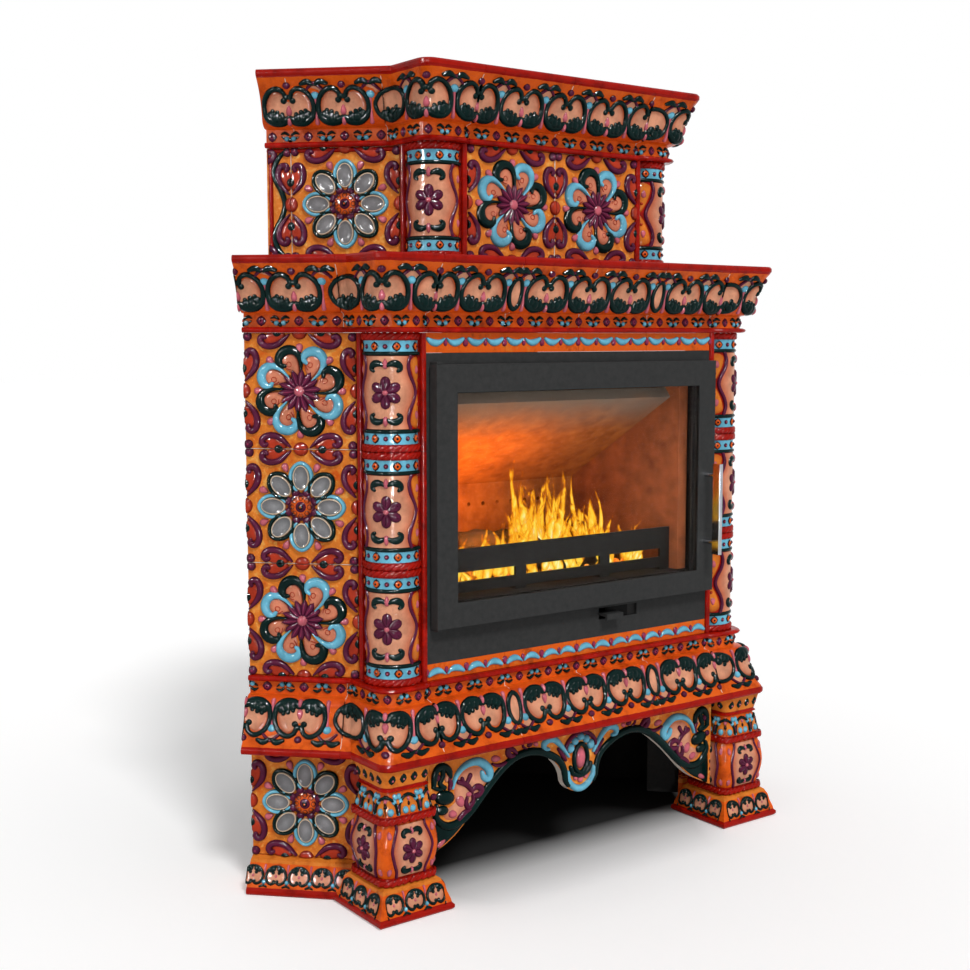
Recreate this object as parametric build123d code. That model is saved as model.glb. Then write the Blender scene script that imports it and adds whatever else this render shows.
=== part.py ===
from build123d import *
from math import cos, radians, sin, sqrt
import os

# Corner tiled fireplace.  Glazed stove tiles are built round a steel fire insert with one glass door.
# The plan is symmetric about X = 0, the front faces -Y, both side faces turn back at 45 degrees to the
# walls of a room corner, and a half-round tile column stands on the bevel between front and side.
# Everything is drawn with Y = 0 at the front tile face of the lower body and Z = 0 at the floor, and is
# moved at the end so that the origin lies on the floor under the middle of the bounding box.

# ---- tiles
TILE = 220.0                # pitch of a whole square tile, joint included
GROUT = 0.8                 # joint between tiles
EDGE_EASE = 1.6             # eased edge of a glazed face
TILE_FACE = 12.0            # thickness of a glazed tile face
RUMP = 50.0                 # depth of the hollow box behind a tile face
RUMP_WALL = 9.0             # wall of that box
BEAD_R = 6.0                # radius of the upright bead beside a column
CUT_OVER = 1.0              # how far a cutting shape runs past a face

# ---- plan of the lower body
BEVEL = 85.0                # each leg of the 45 degree bevel that carries the column
SIDE_INSET = 8.0            # side tile face behind the bevel face
SIDE_RUN = TILE             # tile face from the bevel to the wall, lower body
FACING_GAP = 0.5            # between the column bead and what lies beside it

# ---- fire window, which the door, the insert and the front of tiles are built round
WINDOW_HALF = 316.0
WINDOW_Z0 = 575.0
WINDOW_Z1 = 974.0
DOOR_FRAME = 47.5           # door sheet beside the window
FACING_MARGIN = 6.0         # insert facing beside the door
DOOR_HALF = WINDOW_HALF + DOOR_FRAME
FACING_HALF = DOOR_HALF + FACING_MARGIN
FRONT_HALF = FACING_HALF + FACING_GAP + BEAD_R      # half width of the front, to the bevel

# ---- plan of the upper body
UPPER_SETBACK = 78.0        # upper front face behind the lower one
UPPER_HALF = TILE + BEAD_R  # half width of the upper front: two whole tiles

# ---- heights
LEDGE_Z = 284.0             # underside of the ledge
LISTEL_H = 10.0             # thin round moulding between the courses
LISTEL_EASE = 2.0           # rounding of its nose at the corners
COURSES = 3                 # tile courses in the lower body

# ---- cornice tile: outward reach and height of its profile points
BAND_H = 26.0               # flat flowered band against the body
BAND_STEP = 4.0             # small step where the roll begins
ROLL_OUT = 26.0             # reach of the convex roll
ROLL_H = 20.0
COVE_OUT = 60.0             # reach of the concave cove
COVE_H = 71.0
RIM_OUT = 64.0              # reach of the round rim
RIM_H = 14.0
CORNICE_H = BAND_H + ROLL_H + COVE_H + RIM_H + 1.0
CORNICE_WALL = 14.0

# ---- corner block of a cornice: a rounded square that stands out round the column
BLOCK_X = 13.0              # its flank beyond the bevel end, at the band
BLOCK_Y = 12.0              # its front before the front face, at the band
BLOCK_R = 40.0              # its corner radius at the band
BLOCK_X_RIM = 45.0          # the same three at the rim
BLOCK_R_RIM = 25.0
BLOCK_JOINT = 24.0          # joint with the side tile, back from the bevel
BLOCK_CREASE = 16.0         # slanted stretch beside the front joint

BLOCK_FACETS = 8            # flat facets round its corner

# ---- relief of the square tiles: a flower of oval petals between eight half hearts
PETALS = 8
PETAL_MID = 55.5            # middle of a petal from the middle of the tile
PETAL_LONG = 24.0           # half length and half width of its oval
PETAL_WIDE = 16.0
PETAL_SIDES = 8             # flat sides of a petal and of the button
PETAL_H = 2.5               # height of petals and hearts over the face
BUTTON_R = 12.0
BUTTON_H = 4.0
HEART = [(36, 7), (46, 18), (62, 20), (60, 7)]      # from the middle of an edge, and in from it
HALF_TURN = 22.5            # the rosette's petals lie between those of the daisy

# ---- relief of the cornice tiles: wide and narrow round fields in the cove
FIELD = [(16, 48), (40, 57), (46, 75), (36, 93), (16, 99)]      # half outline: across, height
FIELD_H = 2.0               # height over the cove
FIELD_PITCH = 109.0
NARROW = 0.40               # width of a narrow field at a joint against a wide one

# ---- column tile
COLUMN_R = 50.0             # smooth shaft
RING_R = 54.0               # rope ring at both ends
RING_H = 13.0
COLLAR_H = 22.0             # flat band beside each ring
COLLAR_R = 51.0
RING_EASE = 4.0             # the ring's outer edges are this much smaller
FILLET_H = 6.0              # small roll between collar and shaft
FILLET_R = 2.5
COLUMN_BORE = 40.0

# ---- pedestals
PED_X = FRONT_HALF + 68.5   # middle of a pedestal
PED_Y = 5.5
PED_RIM = 83.5              # half width of the foot rim
PED_RIM_H = 14.0
PED_NECK = 56.0             # half width where the shaft starts
PED_BELLY = 65.0            # half width of the swelling
PED_STEPS = 8               # facets of the swelling, one above the other
PED_ROPE = 61.0             # half width of the rope rings
PED_ROPE_H = 14.0
PED_COVE_TOP = 65.0
PED_SHAFT_TOP = 182.0
PED_CAP_TOP = 240.0
PED_CAP = 48.0              # half width at the top of the capital
PED_ROLL_H = 6.0
PED_ROLL = 5.0              # the thin roll stands out this far
PED_COLLAR = 2.0            # and the neck starts this much wider
PED_EASE = 4.0              # rounding of the foot rim
PED_NECK_TOP = 58.0         # half width under the ledge
PED_CORNER = 18.0           # corner radius of shaft and capital
PED_WALL = 14.0
PLINTH_OUT = 49.0           # reach of the side plinth, as on the pedestal foot

# ---- apron between the pedestals
APRON_FACE = 15.0           # its face before the front plane
APRON_T = 20.0
APRON_TIP_Z = 144.0         # tip of the middle pendant
APRON_ARCH_X = 136.0        # crown of each arch
APRON_ARCH_Z = 242.0
APRON_END_Z = 84.0
APRON_FOOT = 28.0           # flat foot of the apron beside the pedestal

# ---- slabs and blocks
SLAB_T = 50.0
MORTAR = 0.3                # thin bed between a slab's edge and the tile backs
TOP_SLAB_T = 30.0
WALL_GAP = 2.0              # between the stove and the room walls
REAR_CUT = 90.0             # the slabs stop this far before the room corner
PIER_W = 240.0
PIER_D = 150.0
PIER_GAP = 60.0             # from the pier back to the slab's rear edge
BLOCK_T = 75.0              # aerated block wall behind the side base tiles

# ---- fire insert
FACING_Z0 = 458.0
FACING_Z1 = 1048.0
FACING_T = 3.0
MOUTH_EDGE = 6.0            # the opening in the facing is this much wider than the window
MOUTH_SILL = 13.0           # and starts this far below it
MOUTH_HEAD = 11.0
SHELL_SIDE = 30.0           # shell beside the window
SHELL_T = 4.0
SHELL_D = 400.0
SHELL_Z0 = 545.0
SHELL_Z1 = 1042.0
STAND_LEG = 30.0
STAND_INSET = 46.0          # middle of a stand leg inside the shell's side
STAND_Y0 = 120.0
STAND_Y1 = 380.0
ASH_DEPTH = 75.0            # depth of the ash chamber under the shell
PAN_GAP = 2.0
PAN_H = 45.0
PAN_T = 1.5
BAFFLE_Y = 130.0
BAFFLE_Z = 1010.0
LINING_T = 25.0
LINING_FRONT = 25.0         # front edge of the lining behind the front plane
LINING_EDGE = 10.0          # lining inside the window's edge, at the front
LINING_BACK = 325.0         # face of the back lining
LINING_SPLAY = 51.0         # the chamber is this much narrower at the back, on each side
HEARTH_Z = 572.0            # top of the hearth floor
LINING_KNEE = 755.0         # height where the back lining leans forward
LINING_TOP = 948.0
LINING_LEAN_Y = 48.0        # front edge of the leaning lining
AIR_HOLE = 9.0
AIR_HOLE_PITCH = 39.0
AIR_HOLE_COUNT = 11
AIR_HOLE_Z = 710.0
GRATE_W = 200.0
GRATE_D = 190.0
GRATE_T = 14.0
GRATE_SLOT = 9.0
GRATE_Y = 175.0             # middle of the grate
GRATE_FIT = 0.5
GRATE_LEDGE = 15.0          # ledge that carries the grate
GRATE_BORDER = 20.0         # whole metal before and behind the slots
GUARD_Y = 45.0
GUARD_GAP = 8.0             # guard to the side lining
GUARD_T = 6.0
GUARD_TOP = 665.0
GUARD_BAR = 46.0
GUARD_LOW_Z = 578.0
GUARD_LOW = 22.0
GUARD_POST = 27.0
GUARD_POST_X = 112.0
GUARD_FOOT = 24.0

# ---- door
DOOR_SILL = 47.0            # door sheet under the window
DOOR_HEAD = 53.0            # and over it
DOOR_FACE = 27.0            # front of the door before the facing
DOOR_GAP = 5.0              # edge of the door to the facing
DOOR_SHEET = 3.0
GLASS_T = 4.0
GLASS_LAP = 12.0
RETAINER_RIM = 14.0         # solid rim of the glass retainer
RETAINER_T = 2.0
SEAL_W = 12.0
SEAL_BACK = 10.0            # front of the rope seal before the facing
HINGE_INSET = 10.0          # door axis inside the door's left edge
HINGE_Y = 16.0              # before the facing
PIN_R = 3.0
PIN_FIT = 0.08              # radial play of the pin in its bush
KNUCKLE_GAP = 0.3           # running gap between door and fixed pieces
LUG_T = 4.5
LUG_W = 14.0
BUSH_W = 11.0
BUSH_H = 20.0
ROLLER_INSET = 11.5         # outer side of the catch roller inside the door's right edge
ROLLER_R = 3.5
ROLLER_H = 12.0
HANDLE_INSET = 25.5         # middle of the pull bar inside the door's right edge
HANDLE_Z = 710.0
HANDLE_L = 195.0
HANDLE_W = 10.0
HANDLE_D = 22.0
HANDLE_OUT = 74.0           # front of the bar before the facing
POST_R = 5.0
POST_INSET = 25.0

# ---- air control
SLOT_X0 = 60.0
SLOT_X1 = 166.0
SLOT_Z = 505.0
SLOT_H = 24.0
TAB_W = 44.0
TAB_T = 6.0
TAB_OUT = 26.0
SLIDE_TRAVEL = 60.0
SLIDE_X0 = 2.0
SLIDE_X1 = 142.0
SLIDE_Z0 = 482.0
SLIDE_Z1 = 528.0
SLIDE_T = 2.0
SLIDE_FIT = 0.3
AIR_BOX_X0 = -30.0
AIR_BOX_X1 = 215.0
AIR_BOX_Z0 = 474.0
AIR_PORT = 22.0
PORT_X = 45.0
PORT_PITCH = 30.0

# ---- flue
FLUE_Y = 300.0              # flue axis behind the front plane
FLUE_D = 200.0
FLUE_T = 2.0
FLUE_SOCKET = 30.0          # pipe set into the insert's collar
FLUE_FIT = 0.5              # pipe to collar and to the slabs
COLLAR_RISE = 60.0

# ---- derived sizes
DOOR_Z0 = WINDOW_Z0 - DOOR_SILL
DOOR_Z1 = WINDOW_Z1 + DOOR_HEAD
MOUTH_HALF = WINDOW_HALF + MOUTH_EDGE
MOUTH_Z0 = WINDOW_Z0 - MOUTH_SILL
MOUTH_Z1 = WINDOW_Z1 + MOUTH_HEAD
SHELL_HALF = WINDOW_HALF + SHELL_SIDE
LINING_FRONT_HALF = WINDOW_HALF - LINING_EDGE
LINING_BACK_HALF = LINING_FRONT_HALF - LINING_SPLAY
GUARD_HALF = LINING_FRONT_HALF - GUARD_GAP
STAND_X = SHELL_HALF - STAND_INSET
HINGE_X = DOOR_HALF - HINGE_INSET
ROLLER_X = DOOR_HALF - ROLLER_INSET
HANDLE_X = DOOR_HALF - HANDLE_INSET
LEDGE_TOP = LEDGE_Z + CORNICE_H
BODY_Z0 = LEDGE_TOP + LISTEL_H
BODY_Z1 = BODY_Z0 + COURSES * TILE
CORNICE_Z0 = BODY_Z1 + LISTEL_H
CORNICE_Z1 = CORNICE_Z0 + CORNICE_H
UPPER_Z1 = CORNICE_Z1 + TILE
CROWN_Z0 = UPPER_Z1 + LISTEL_H
CROWN_Z1 = CROWN_Z0 + CORNICE_H
ROOT2 = sqrt(2.0)
FULL_TURN = 360.0


class Level:
    """One storey of the plan: its front, bevel and side lines, for the left half."""

    def __init__(self, half, front, run):
        self.half = half
        self.front = front
        self.run = run
        self.bevel_mid = (-half - BEVEL / 2, front + BEVEL / 2)
        self.side_start = (-half - BEVEL, front + BEVEL + SIDE_INSET * ROOT2)

    def side_point(self, back, out=0.0):
        """A point of the side face: `back` towards the wall and `out` proud of it."""
        x, y = self.side_start
        return (x - (back + out) / ROOT2, y + (back - out) / ROOT2)

    def side_frame(self, back, z=0.0):
        """Local frame on the side face: +X runs towards the front, -Y points out."""
        x, y = self.side_point(back)
        return Pos(x, y, z) * Rot(0, 0, -45)

    def bevel_frame(self, z=0.0):
        x, y = self.bevel_mid
        return Pos(x, y, z) * Rot(0, 0, -45)


LOWER = Level(FRONT_HALF, 0.0, SIDE_RUN)
WALL_C = LOWER.side_point(SIDE_RUN)[1] - LOWER.side_point(SIDE_RUN)[0]     # wall: Y = X + WALL_C
UPPER_RUN = (WALL_C - (UPPER_SETBACK + 2 * BEVEL + SIDE_INSET * ROOT2 + UPPER_HALF)) / ROOT2
UPPER = Level(UPPER_HALF, UPPER_SETBACK, UPPER_RUN)

PARTS = {}


def add(name, *shapes):
    """Keep one named piece, or a group of equal separate pieces."""
    PARTS[name] = shapes[0] if len(shapes) == 1 else Compound(children=list(shapes))


def box(x0, x1, y0, y1, z0, z1):
    return Pos((x0 + x1) / 2, (y0 + y1) / 2, (z0 + z1) / 2) * Box(x1 - x0, y1 - y0, z1 - z0)


def prism(points, z0, z1):
    """An upright prism over a closed plan outline."""
    outline = make_face(Polyline(*points, close=True))
    return extrude(Pos(0, 0, z0) * outline, z1 - z0)


def other(shape):
    """The mirror twin on the right-hand side."""
    return mirror(shape, about=Plane.YZ)


def behind_walls():
    """The room behind both walls, to cut what would reach through them."""
    reach = 2 * WALL_C
    line = WALL_C - WALL_GAP
    left = [(-reach, line - reach), (0, line), (0, 2 * reach), (-reach, 2 * reach)]
    room = prism(left, -CUT_OVER, CROWN_Z1 + CUT_OVER)
    return room + other(room)


ROOM = behind_walls()


# ------------------------------------------------------------------ flat tiles
def flat_tile(width, height):
    """A stove tile: a glazed face with a hollow box behind it, from X = 0, face at Y = 0."""
    w = width - GROUT
    h = height - GROUT
    block = box(0, w, 0, RUMP, 0, h)
    block = chamfer(block.faces().sort_by(Axis.Y)[0].edges(), EDGE_EASE)
    hollow = box(RUMP_WALL, w - RUMP_WALL, TILE_FACE, RUMP + CUT_OVER, RUMP_WALL, h - RUMP_WALL)
    return Pos(GROUT / 2, 0, GROUT / 2) * (block - hollow)


def raised(points, height):
    """A raised field over a tile face: its outline in X, Z, standing out to -Y."""
    outline = make_face(Plane.XZ * Polyline(*points, close=True))
    return Pos(0, CUT_OVER, 0) * extrude(outline, height + CUT_OVER)


def oval(turn):
    """Outline of one petal, its length pointing away from the middle of the tile."""
    c, s = cos(radians(turn)), sin(radians(turn))
    points = []
    for side in range(PETAL_SIDES):
        angle = radians(FULL_TURN * side / PETAL_SIDES)
        along, across = PETAL_MID + PETAL_LONG * cos(angle), PETAL_WIDE * sin(angle)
        points.append((along * c - across * s, along * s + across * c))
    return points


def flower_tile(turn, height=TILE):
    """A square tile with its flower and the half hearts along its four joints."""
    petals = [raised(oval(turn + FULL_TURN * k / PETALS), PETAL_H) for k in range(PETALS)]
    button = Rot(90, 0, 0) * extrude(RegularPolygon(BUTTON_R, PETAL_SIDES), BUTTON_H)
    heart = raised([(x, TILE / 2 - inset) for x, inset in HEART], PETAL_H)
    pair = [heart, other(heart)]
    hearts = [Rot(0, 90 * k, 0) * half for k in range(4) for half in pair]
    middle = Pos(TILE / 2, 0, height / 2)
    return flat_tile(TILE, height) + [middle * form for form in petals + [button] + hearts]


def side_tiles(level, z0, courses):
    """Whole tiles one above the other on the left side face, rosette and daisy by turns."""
    rosette, daisy = flower_tile(HALF_TURN), flower_tile(0)
    tiles = []
    for course in range(courses):
        frame = level.side_frame(TILE, z0 + course * TILE)
        tiles.append(frame * (daisy if course % 2 else rosette))
    return tiles


def upper_side_tiles():
    """One whole tile and the narrow strip that is cut to reach the wall."""
    whole = UPPER.side_frame(TILE, CORNICE_Z1) * flower_tile(0)
    strip = UPPER.side_frame(UPPER.run, CORNICE_Z1) * flat_tile(UPPER.run - TILE, TILE)
    return [whole, strip - ROOM]


def frieze(z0, z1, count=4):
    """Thin strip tiles across the front, above and below the insert."""
    pitch = 2 * FACING_HALF / count
    return [Pos(-FACING_HALF + i * pitch, 0, z0) * flat_strip(pitch, z1 - z0) for i in range(count)]


def flat_strip(width, height):
    w = width - GROUT
    return Pos(GROUT / 2, 0, 0) * box(0, w, 0, RUMP / 2, GROUT / 2, height - GROUT / 2)


# ------------------------------------------------------------------ columns
def column_tile(height):
    """A half-round column on its base plate, between two upright beads."""
    h = height - GROUT
    shaft = RING_H + COLLAR_H
    profile = [
        (COLUMN_BORE, 0), (RING_R - RING_EASE, 0), (RING_R, RING_H * 0.25), (RING_R, RING_H * 0.75),
        (COLLAR_R, RING_H), (COLLAR_R, shaft), (COLLAR_R + FILLET_R, shaft + FILLET_H / 2),
        (COLUMN_R, shaft + FILLET_H), (COLUMN_R, h / 2),
    ]
    upper = [(r, h - z) for r, z in reversed(profile[:-1])]
    section = make_face(Plane.XZ * Polyline(*(profile + upper), close=True))
    column = revolve(section, Axis.Z) & box(-RING_R, RING_R, -RING_R, TILE_FACE, 0, h)
    edge = BEVEL / ROOT2
    plate = box(-edge, edge, 0, TILE_FACE, 0, h)
    plate -= box(-COLUMN_BORE, COLUMN_BORE, -CUT_OVER, TILE_FACE + CUT_OVER, -CUT_OVER, h + CUT_OVER)
    beads = [Pos(x, 0, h / 2) * Cylinder(BEAD_R, h) for x in (-edge, edge)]
    return Pos(0, 0, GROUT / 2) * (column + plate + beads[0] + beads[1])


def columns(level, z0, courses):
    """Column tiles one above the other on the left bevel, trimmed at the front joint."""
    front = box(-level.half + BEAD_R, 0, -RUMP, WALL_C, z0, z0 + courses * TILE)
    return [level.bevel_frame(z0 + i * TILE) * column_tile(TILE) - front for i in range(courses)]


# ------------------------------------------------------------------ cornices
def cornice_curves():
    """The roll and the cove of the profile, as arcs in (reach, height)."""
    roll = ThreePointArc((BAND_STEP, BAND_H), (ROLL_OUT * 0.72, BAND_H + ROLL_H * 0.26),
                         (ROLL_OUT, BAND_H + ROLL_H))
    cove = ThreePointArc((ROLL_OUT, BAND_H + ROLL_H),
                         (ROLL_OUT + (COVE_OUT - ROLL_OUT) * 0.29, BAND_H + ROLL_H + COVE_H * 0.49),
                         (COVE_OUT, BAND_H + ROLL_H + COVE_H))
    rim = ThreePointArc((COVE_OUT, CORNICE_H - RIM_H), (RIM_OUT, CORNICE_H - RIM_H / 2),
                        (COVE_OUT, CORNICE_H))
    return roll, cove, rim


def cornice_profile():
    """Closed outline of a straight cornice tile, reach along local X."""
    roll, cove, rim = cornice_curves()
    return make_face([
        Line((-RUMP, 0), (0, 0)), Line((0, 0), (0, BAND_H)), Line((0, BAND_H), (BAND_STEP, BAND_H)),
        roll, cove, Line((COVE_OUT, CORNICE_H - RIM_H - 1), (COVE_OUT, CORNICE_H - RIM_H)), rim,
        Line((COVE_OUT, CORNICE_H), (-RUMP, CORNICE_H)), Line((-RUMP, CORNICE_H), (-RUMP, 0)),
    ])


def cornice_hollow():
    """Outline of the hollow behind the face, open to the back."""
    w = CORNICE_WALL
    back = -RUMP - CUT_OVER
    lip = COVE_OUT - 1.6 * w
    return make_face(Polyline(
        (back, w), (-w, w), (-w, BAND_H + w), (ROLL_OUT - w, BAND_H + ROLL_H + w / 2),
        (lip, CORNICE_H - 1.3 * w), (lip, CORNICE_H - w), (back, CORNICE_H - w), close=True))


REACH_OUT = Plane(origin=(0, 0, 0), x_dir=(0, -1, 0), z_dir=(-1, 0, 0))    # (reach, height) to -Y, Z


def cove_skin():
    """Outline of the layer that lies on the cove, from which its fields are cut."""
    cove = cornice_curves()[1]
    outer = []
    for t in (0, 0.5, 1):
        point, along = cove @ t, cove % t
        outer.append((point.X + along.Y * FIELD_H, point.Y - along.X * FIELD_H))
    inner = (ROLL_OUT - CORNICE_WALL / 2, BAND_H + ROLL_H + FIELD_H)
    lip = (COVE_OUT - CORNICE_WALL / 2, BAND_H + ROLL_H + COVE_H - FIELD_H)
    return make_face([ThreePointArc(*outer), Line(outer[2], lip), Line(lip, inner), Line(inner, outer[0])])


def cove_field(x, share):
    """Prism over the outline of one field of the cove, its width times `share`."""
    right = [(x + across * share, z) for across, z in FIELD]
    left = [(x - across * share, z) for across, z in reversed(FIELD)]
    outline = make_face(Plane.XZ * Polyline(*right, *left, close=True))
    return extrude(outline, RIM_OUT)


def cornice_run(length, fields):
    """A straight cornice tile from X = 0, its back box open behind, with its fields (x, share)."""
    w = length - GROUT
    solid = extrude(REACH_OUT * cornice_profile(), -w)
    hollow = extrude(REACH_OUT * cornice_hollow(), -(w - 2 * RUMP_WALL))
    skin = extrude(REACH_OUT * cove_skin(), -w)
    raised_fields = [skin & cove_field(x, share) for x, share in fields]
    return Pos(GROUT / 2, 0, 0) * (solid - Pos(RUMP_WALL, 0, 0) * hollow + raised_fields)


def profile_stations():
    """The profile as (reach, height) stations, for the lofted corner block."""
    roll, cove, rim = cornice_curves()
    stations = [(0, 0), (0, BAND_H - 1)]
    stations += [tuple(roll @ t)[:2] for t in (0, 0.35, 0.7)]
    stations += [tuple(cove @ t)[:2] for t in (0, 0.3, 0.6, 0.85, 1)]
    stations += [tuple(rim @ t)[:2] for t in (0.03, 0.3, 0.7, 1)]
    return stations


def block_outline(level, reach, depth):
    """Plan of the left corner block at one height of the profile."""
    share = reach / COVE_OUT
    flank = -level.half - BEVEL - BLOCK_X - (BLOCK_X_RIM - BLOCK_X) * share
    face = level.front - BLOCK_Y - (COVE_OUT - BLOCK_Y) * share
    radius = BLOCK_R - (BLOCK_R - BLOCK_R_RIM) * share
    start = level.side_start
    bend = (flank, start[0] + start[1] - ROOT2 * reach - flank)
    joint_out = level.side_point(BLOCK_JOINT, reach)
    joint_in = level.side_point(BLOCK_JOINT, -depth)
    front_out = (-level.half + BEAD_R, level.front - reach)
    front_in = (-level.half + BEAD_R, level.front + depth)
    crease = (front_out[0] - BLOCK_CREASE, face)
    turns = [radians(90 * i / BLOCK_FACETS) for i in range(BLOCK_FACETS + 1)]
    arc = [(flank + radius * (1 - cos(turn)), face + radius * (1 - sin(turn))) for turn in turns]
    return make_face(Polyline(joint_in, joint_out, bend, *arc, crease, front_out, front_in, close=True))


def corner_block(level):
    """Corner tile of a cornice: a rounded square rim over a nearly square band."""
    stations = profile_stations()
    outer = loft([Pos(0, 0, z) * block_outline(level, reach, RUMP) for reach, z in stations], ruled=True)
    wall = CORNICE_WALL
    inner = [(reach - wall, z) for reach, z in stations if z < CORNICE_H - wall]
    inner = [(-wall, -CUT_OVER)] + inner[1:] + [(inner[-1][0], CORNICE_H - wall)]
    sections = [Pos(0, 0, z) * block_outline(level, reach, RUMP + CUT_OVER) for reach, z in inner]
    void = loft(sections, ruled=True)
    return outer - void


def cornice(level, z0, upside_down, front_tiles):
    """All tiles of one cornice: front run, left corner block and left side run."""
    width = 2 * (level.half - BEAD_R)
    pitch = width / front_tiles
    from_left = cornice_run(pitch, [(0, 1), (FIELD_PITCH, 1), (pitch, NARROW)])
    from_right = cornice_run(pitch, [(0, NARROW), (pitch - FIELD_PITCH, 1), (pitch, 1)])
    front = []
    for i in range(front_tiles):
        place = Pos(-width / 2 + i * pitch, level.front, 0)
        front.append(place * (from_right if i % 2 else from_left))
    corner = corner_block(level)
    side_length = level.run - BLOCK_JOINT + 2 * RIM_OUT
    first = side_length - FIELD_PITCH / 2
    side_fields = [(first, 1), (first - FIELD_PITCH, 1)]
    side = level.side_frame(BLOCK_JOINT + side_length) * cornice_run(side_length, side_fields)
    pieces = front + [corner, side]
    if upside_down:
        pieces = [mirror(piece, about=Plane.XY).moved(Location((0, 0, CORNICE_H))) for piece in pieces]
    pieces = [piece.moved(Location((0, 0, z0))) for piece in pieces]
    return pieces[:-2], pieces[-2], pieces[-1] - ROOM


def listel(level, z0):
    """The thin round moulding under or over a course: front, corner and side pieces."""
    nose = 2 * BEAD_R + LISTEL_EASE / 2
    ease = LISTEL_EASE
    half = level.half - BEAD_R
    profile = make_face([
        Line((-RUMP / 2, 0), (BEAD_R, 0)),
        ThreePointArc((BEAD_R, 0), (nose, LISTEL_H / 2), (BEAD_R, LISTEL_H)),
        Line((BEAD_R, LISTEL_H), (-RUMP / 2, LISTEL_H)), Line((-RUMP / 2, LISTEL_H), (-RUMP / 2, 0)),
    ])
    front = Pos(-half, level.front, 0) * extrude(REACH_OUT * profile, -2 * half)
    side_length = level.run - BLOCK_JOINT + 2 * RIM_OUT
    side = level.side_frame(BLOCK_JOINT + side_length) * extrude(REACH_OUT * profile, -side_length)
    stations = [(BEAD_R, 0), (nose - ease, ease), (nose, LISTEL_H / 2), (nose - ease, LISTEL_H - ease),
                (BEAD_R, LISTEL_H)]
    sections = [Pos(0, 0, z) * block_outline(level, reach, RUMP / 2) for reach, z in stations]
    corner = loft(sections, ruled=True)
    pieces = [corner, other(corner), side - ROOM, other(side - ROOM), front]
    return [piece.moved(Location((0, 0, z0))) for piece in pieces]


# ------------------------------------------------------------------ pedestals and base
def square(half, z, radius=0.0):
    if radius > 0:
        return Pos(0, 0, z) * RectangleRounded(2 * half, 2 * half, radius)
    return Pos(0, 0, z) * Rectangle(2 * half, 2 * half)


def foot_stations(rim, neck):
    """(half width or reach, height) of the small cove on the feet and on the side plinth."""
    drop = PED_COVE_TOP - PED_RIM_H
    spread = rim - neck
    shares = [(1.0, 0.0), (0.80, 0.14), (0.62, 0.40), (0.50, 0.68), (0.28, 0.90), (0.0, 1.0)]
    cove = [(neck + spread * out, PED_RIM_H + drop * up) for out, up in shares]
    ease = PED_EASE
    return [(rim - ease, 0), (rim, ease), (rim, PED_RIM_H - ease), (rim - ease, PED_RIM_H)] + cove[1:]


def pedestal_foot():
    """Square foot with a mitred cove; the rim stands on the floor."""
    solid = loft([square(half, z) for half, z in foot_stations(PED_RIM, PED_NECK)], ruled=True)
    inner = PED_NECK - PED_WALL
    return solid - box(-inner, inner, -inner, inner, -CUT_OVER, PED_COVE_TOP + CUT_OVER)


def rope_ring(z):
    """Square ring with a round outer edge."""
    flat = PED_ROPE - PED_ROPE_H * 0.25
    sections = [(flat, 0), (PED_ROPE, PED_ROPE_H * 0.3), (PED_ROPE, PED_ROPE_H * 0.7), (flat, PED_ROPE_H)]
    return loft([square(half, z + up, PED_CORNER) for half, up in sections], ruled=True)


def pedestal_shaft():
    """Swelling square shaft between two rope rings."""
    low = PED_COVE_TOP + PED_ROPE_H
    stations = []
    for step in range(PED_STEPS + 1):
        share = step / PED_STEPS
        swell = (PED_BELLY - PED_NECK) * sin(radians(180 * share))
        stations.append((PED_NECK + swell, low + (PED_SHAFT_TOP - low) * share))
    shaft = loft([square(half, z, PED_CORNER) for half, z in stations], ruled=True)
    solid = rope_ring(PED_COVE_TOP) + shaft + rope_ring(PED_SHAFT_TOP)
    inner = PED_NECK - PED_WALL
    top = PED_SHAFT_TOP + PED_ROPE_H
    return solid - box(-inner, inner, -inner, inner, PED_COVE_TOP - CUT_OVER, top + CUT_OVER)


def pedestal_capital():
    """Tapering capital, a thin roll, and the flaring neck under the ledge."""
    low = PED_SHAFT_TOP + PED_ROPE_H
    roll = PED_CAP_TOP + PED_ROLL_H
    capital = loft([square(PED_NECK, low, PED_CORNER), square(PED_CAP, PED_CAP_TOP, PED_CORNER)])
    collar = PED_CAP + PED_COLLAR
    band = loft([square(PED_CAP, PED_CAP_TOP, PED_CORNER),
                 square(PED_CAP + PED_ROLL, PED_CAP_TOP + PED_ROLL_H / 2, PED_CORNER),
                 square(collar, roll, PED_CORNER)], ruled=True)
    neck = loft([square(collar, roll, PED_CORNER), square(PED_NECK_TOP, LEDGE_Z, PED_CORNER)])
    inner = PED_CAP - PED_WALL
    return capital + band + neck - box(-inner, inner, -inner, inner, low - CUT_OVER, LEDGE_Z + CUT_OVER)


def side_plinth():
    """The cove of the feet, carried on along the side to the wall."""
    stations = [(reach, z) for reach, z in foot_stations(PLINTH_OUT, 0.0)]
    points = [(-RUMP, 0)] + stations + [(-RUMP, PED_COVE_TOP)]
    profile = make_face(Polyline(*points, close=True))
    length = LOWER.run + 2 * PLINTH_OUT
    run = LOWER.side_frame(LOWER.run + PLINTH_OUT) * extrude(REACH_OUT * profile, -length)
    ahead = box(-2 * WALL_C, 0, -2 * WALL_C, PED_Y + PED_RIM + GROUT, -CUT_OVER, PED_COVE_TOP + CUT_OVER)
    return run - ahead - ROOM


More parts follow.
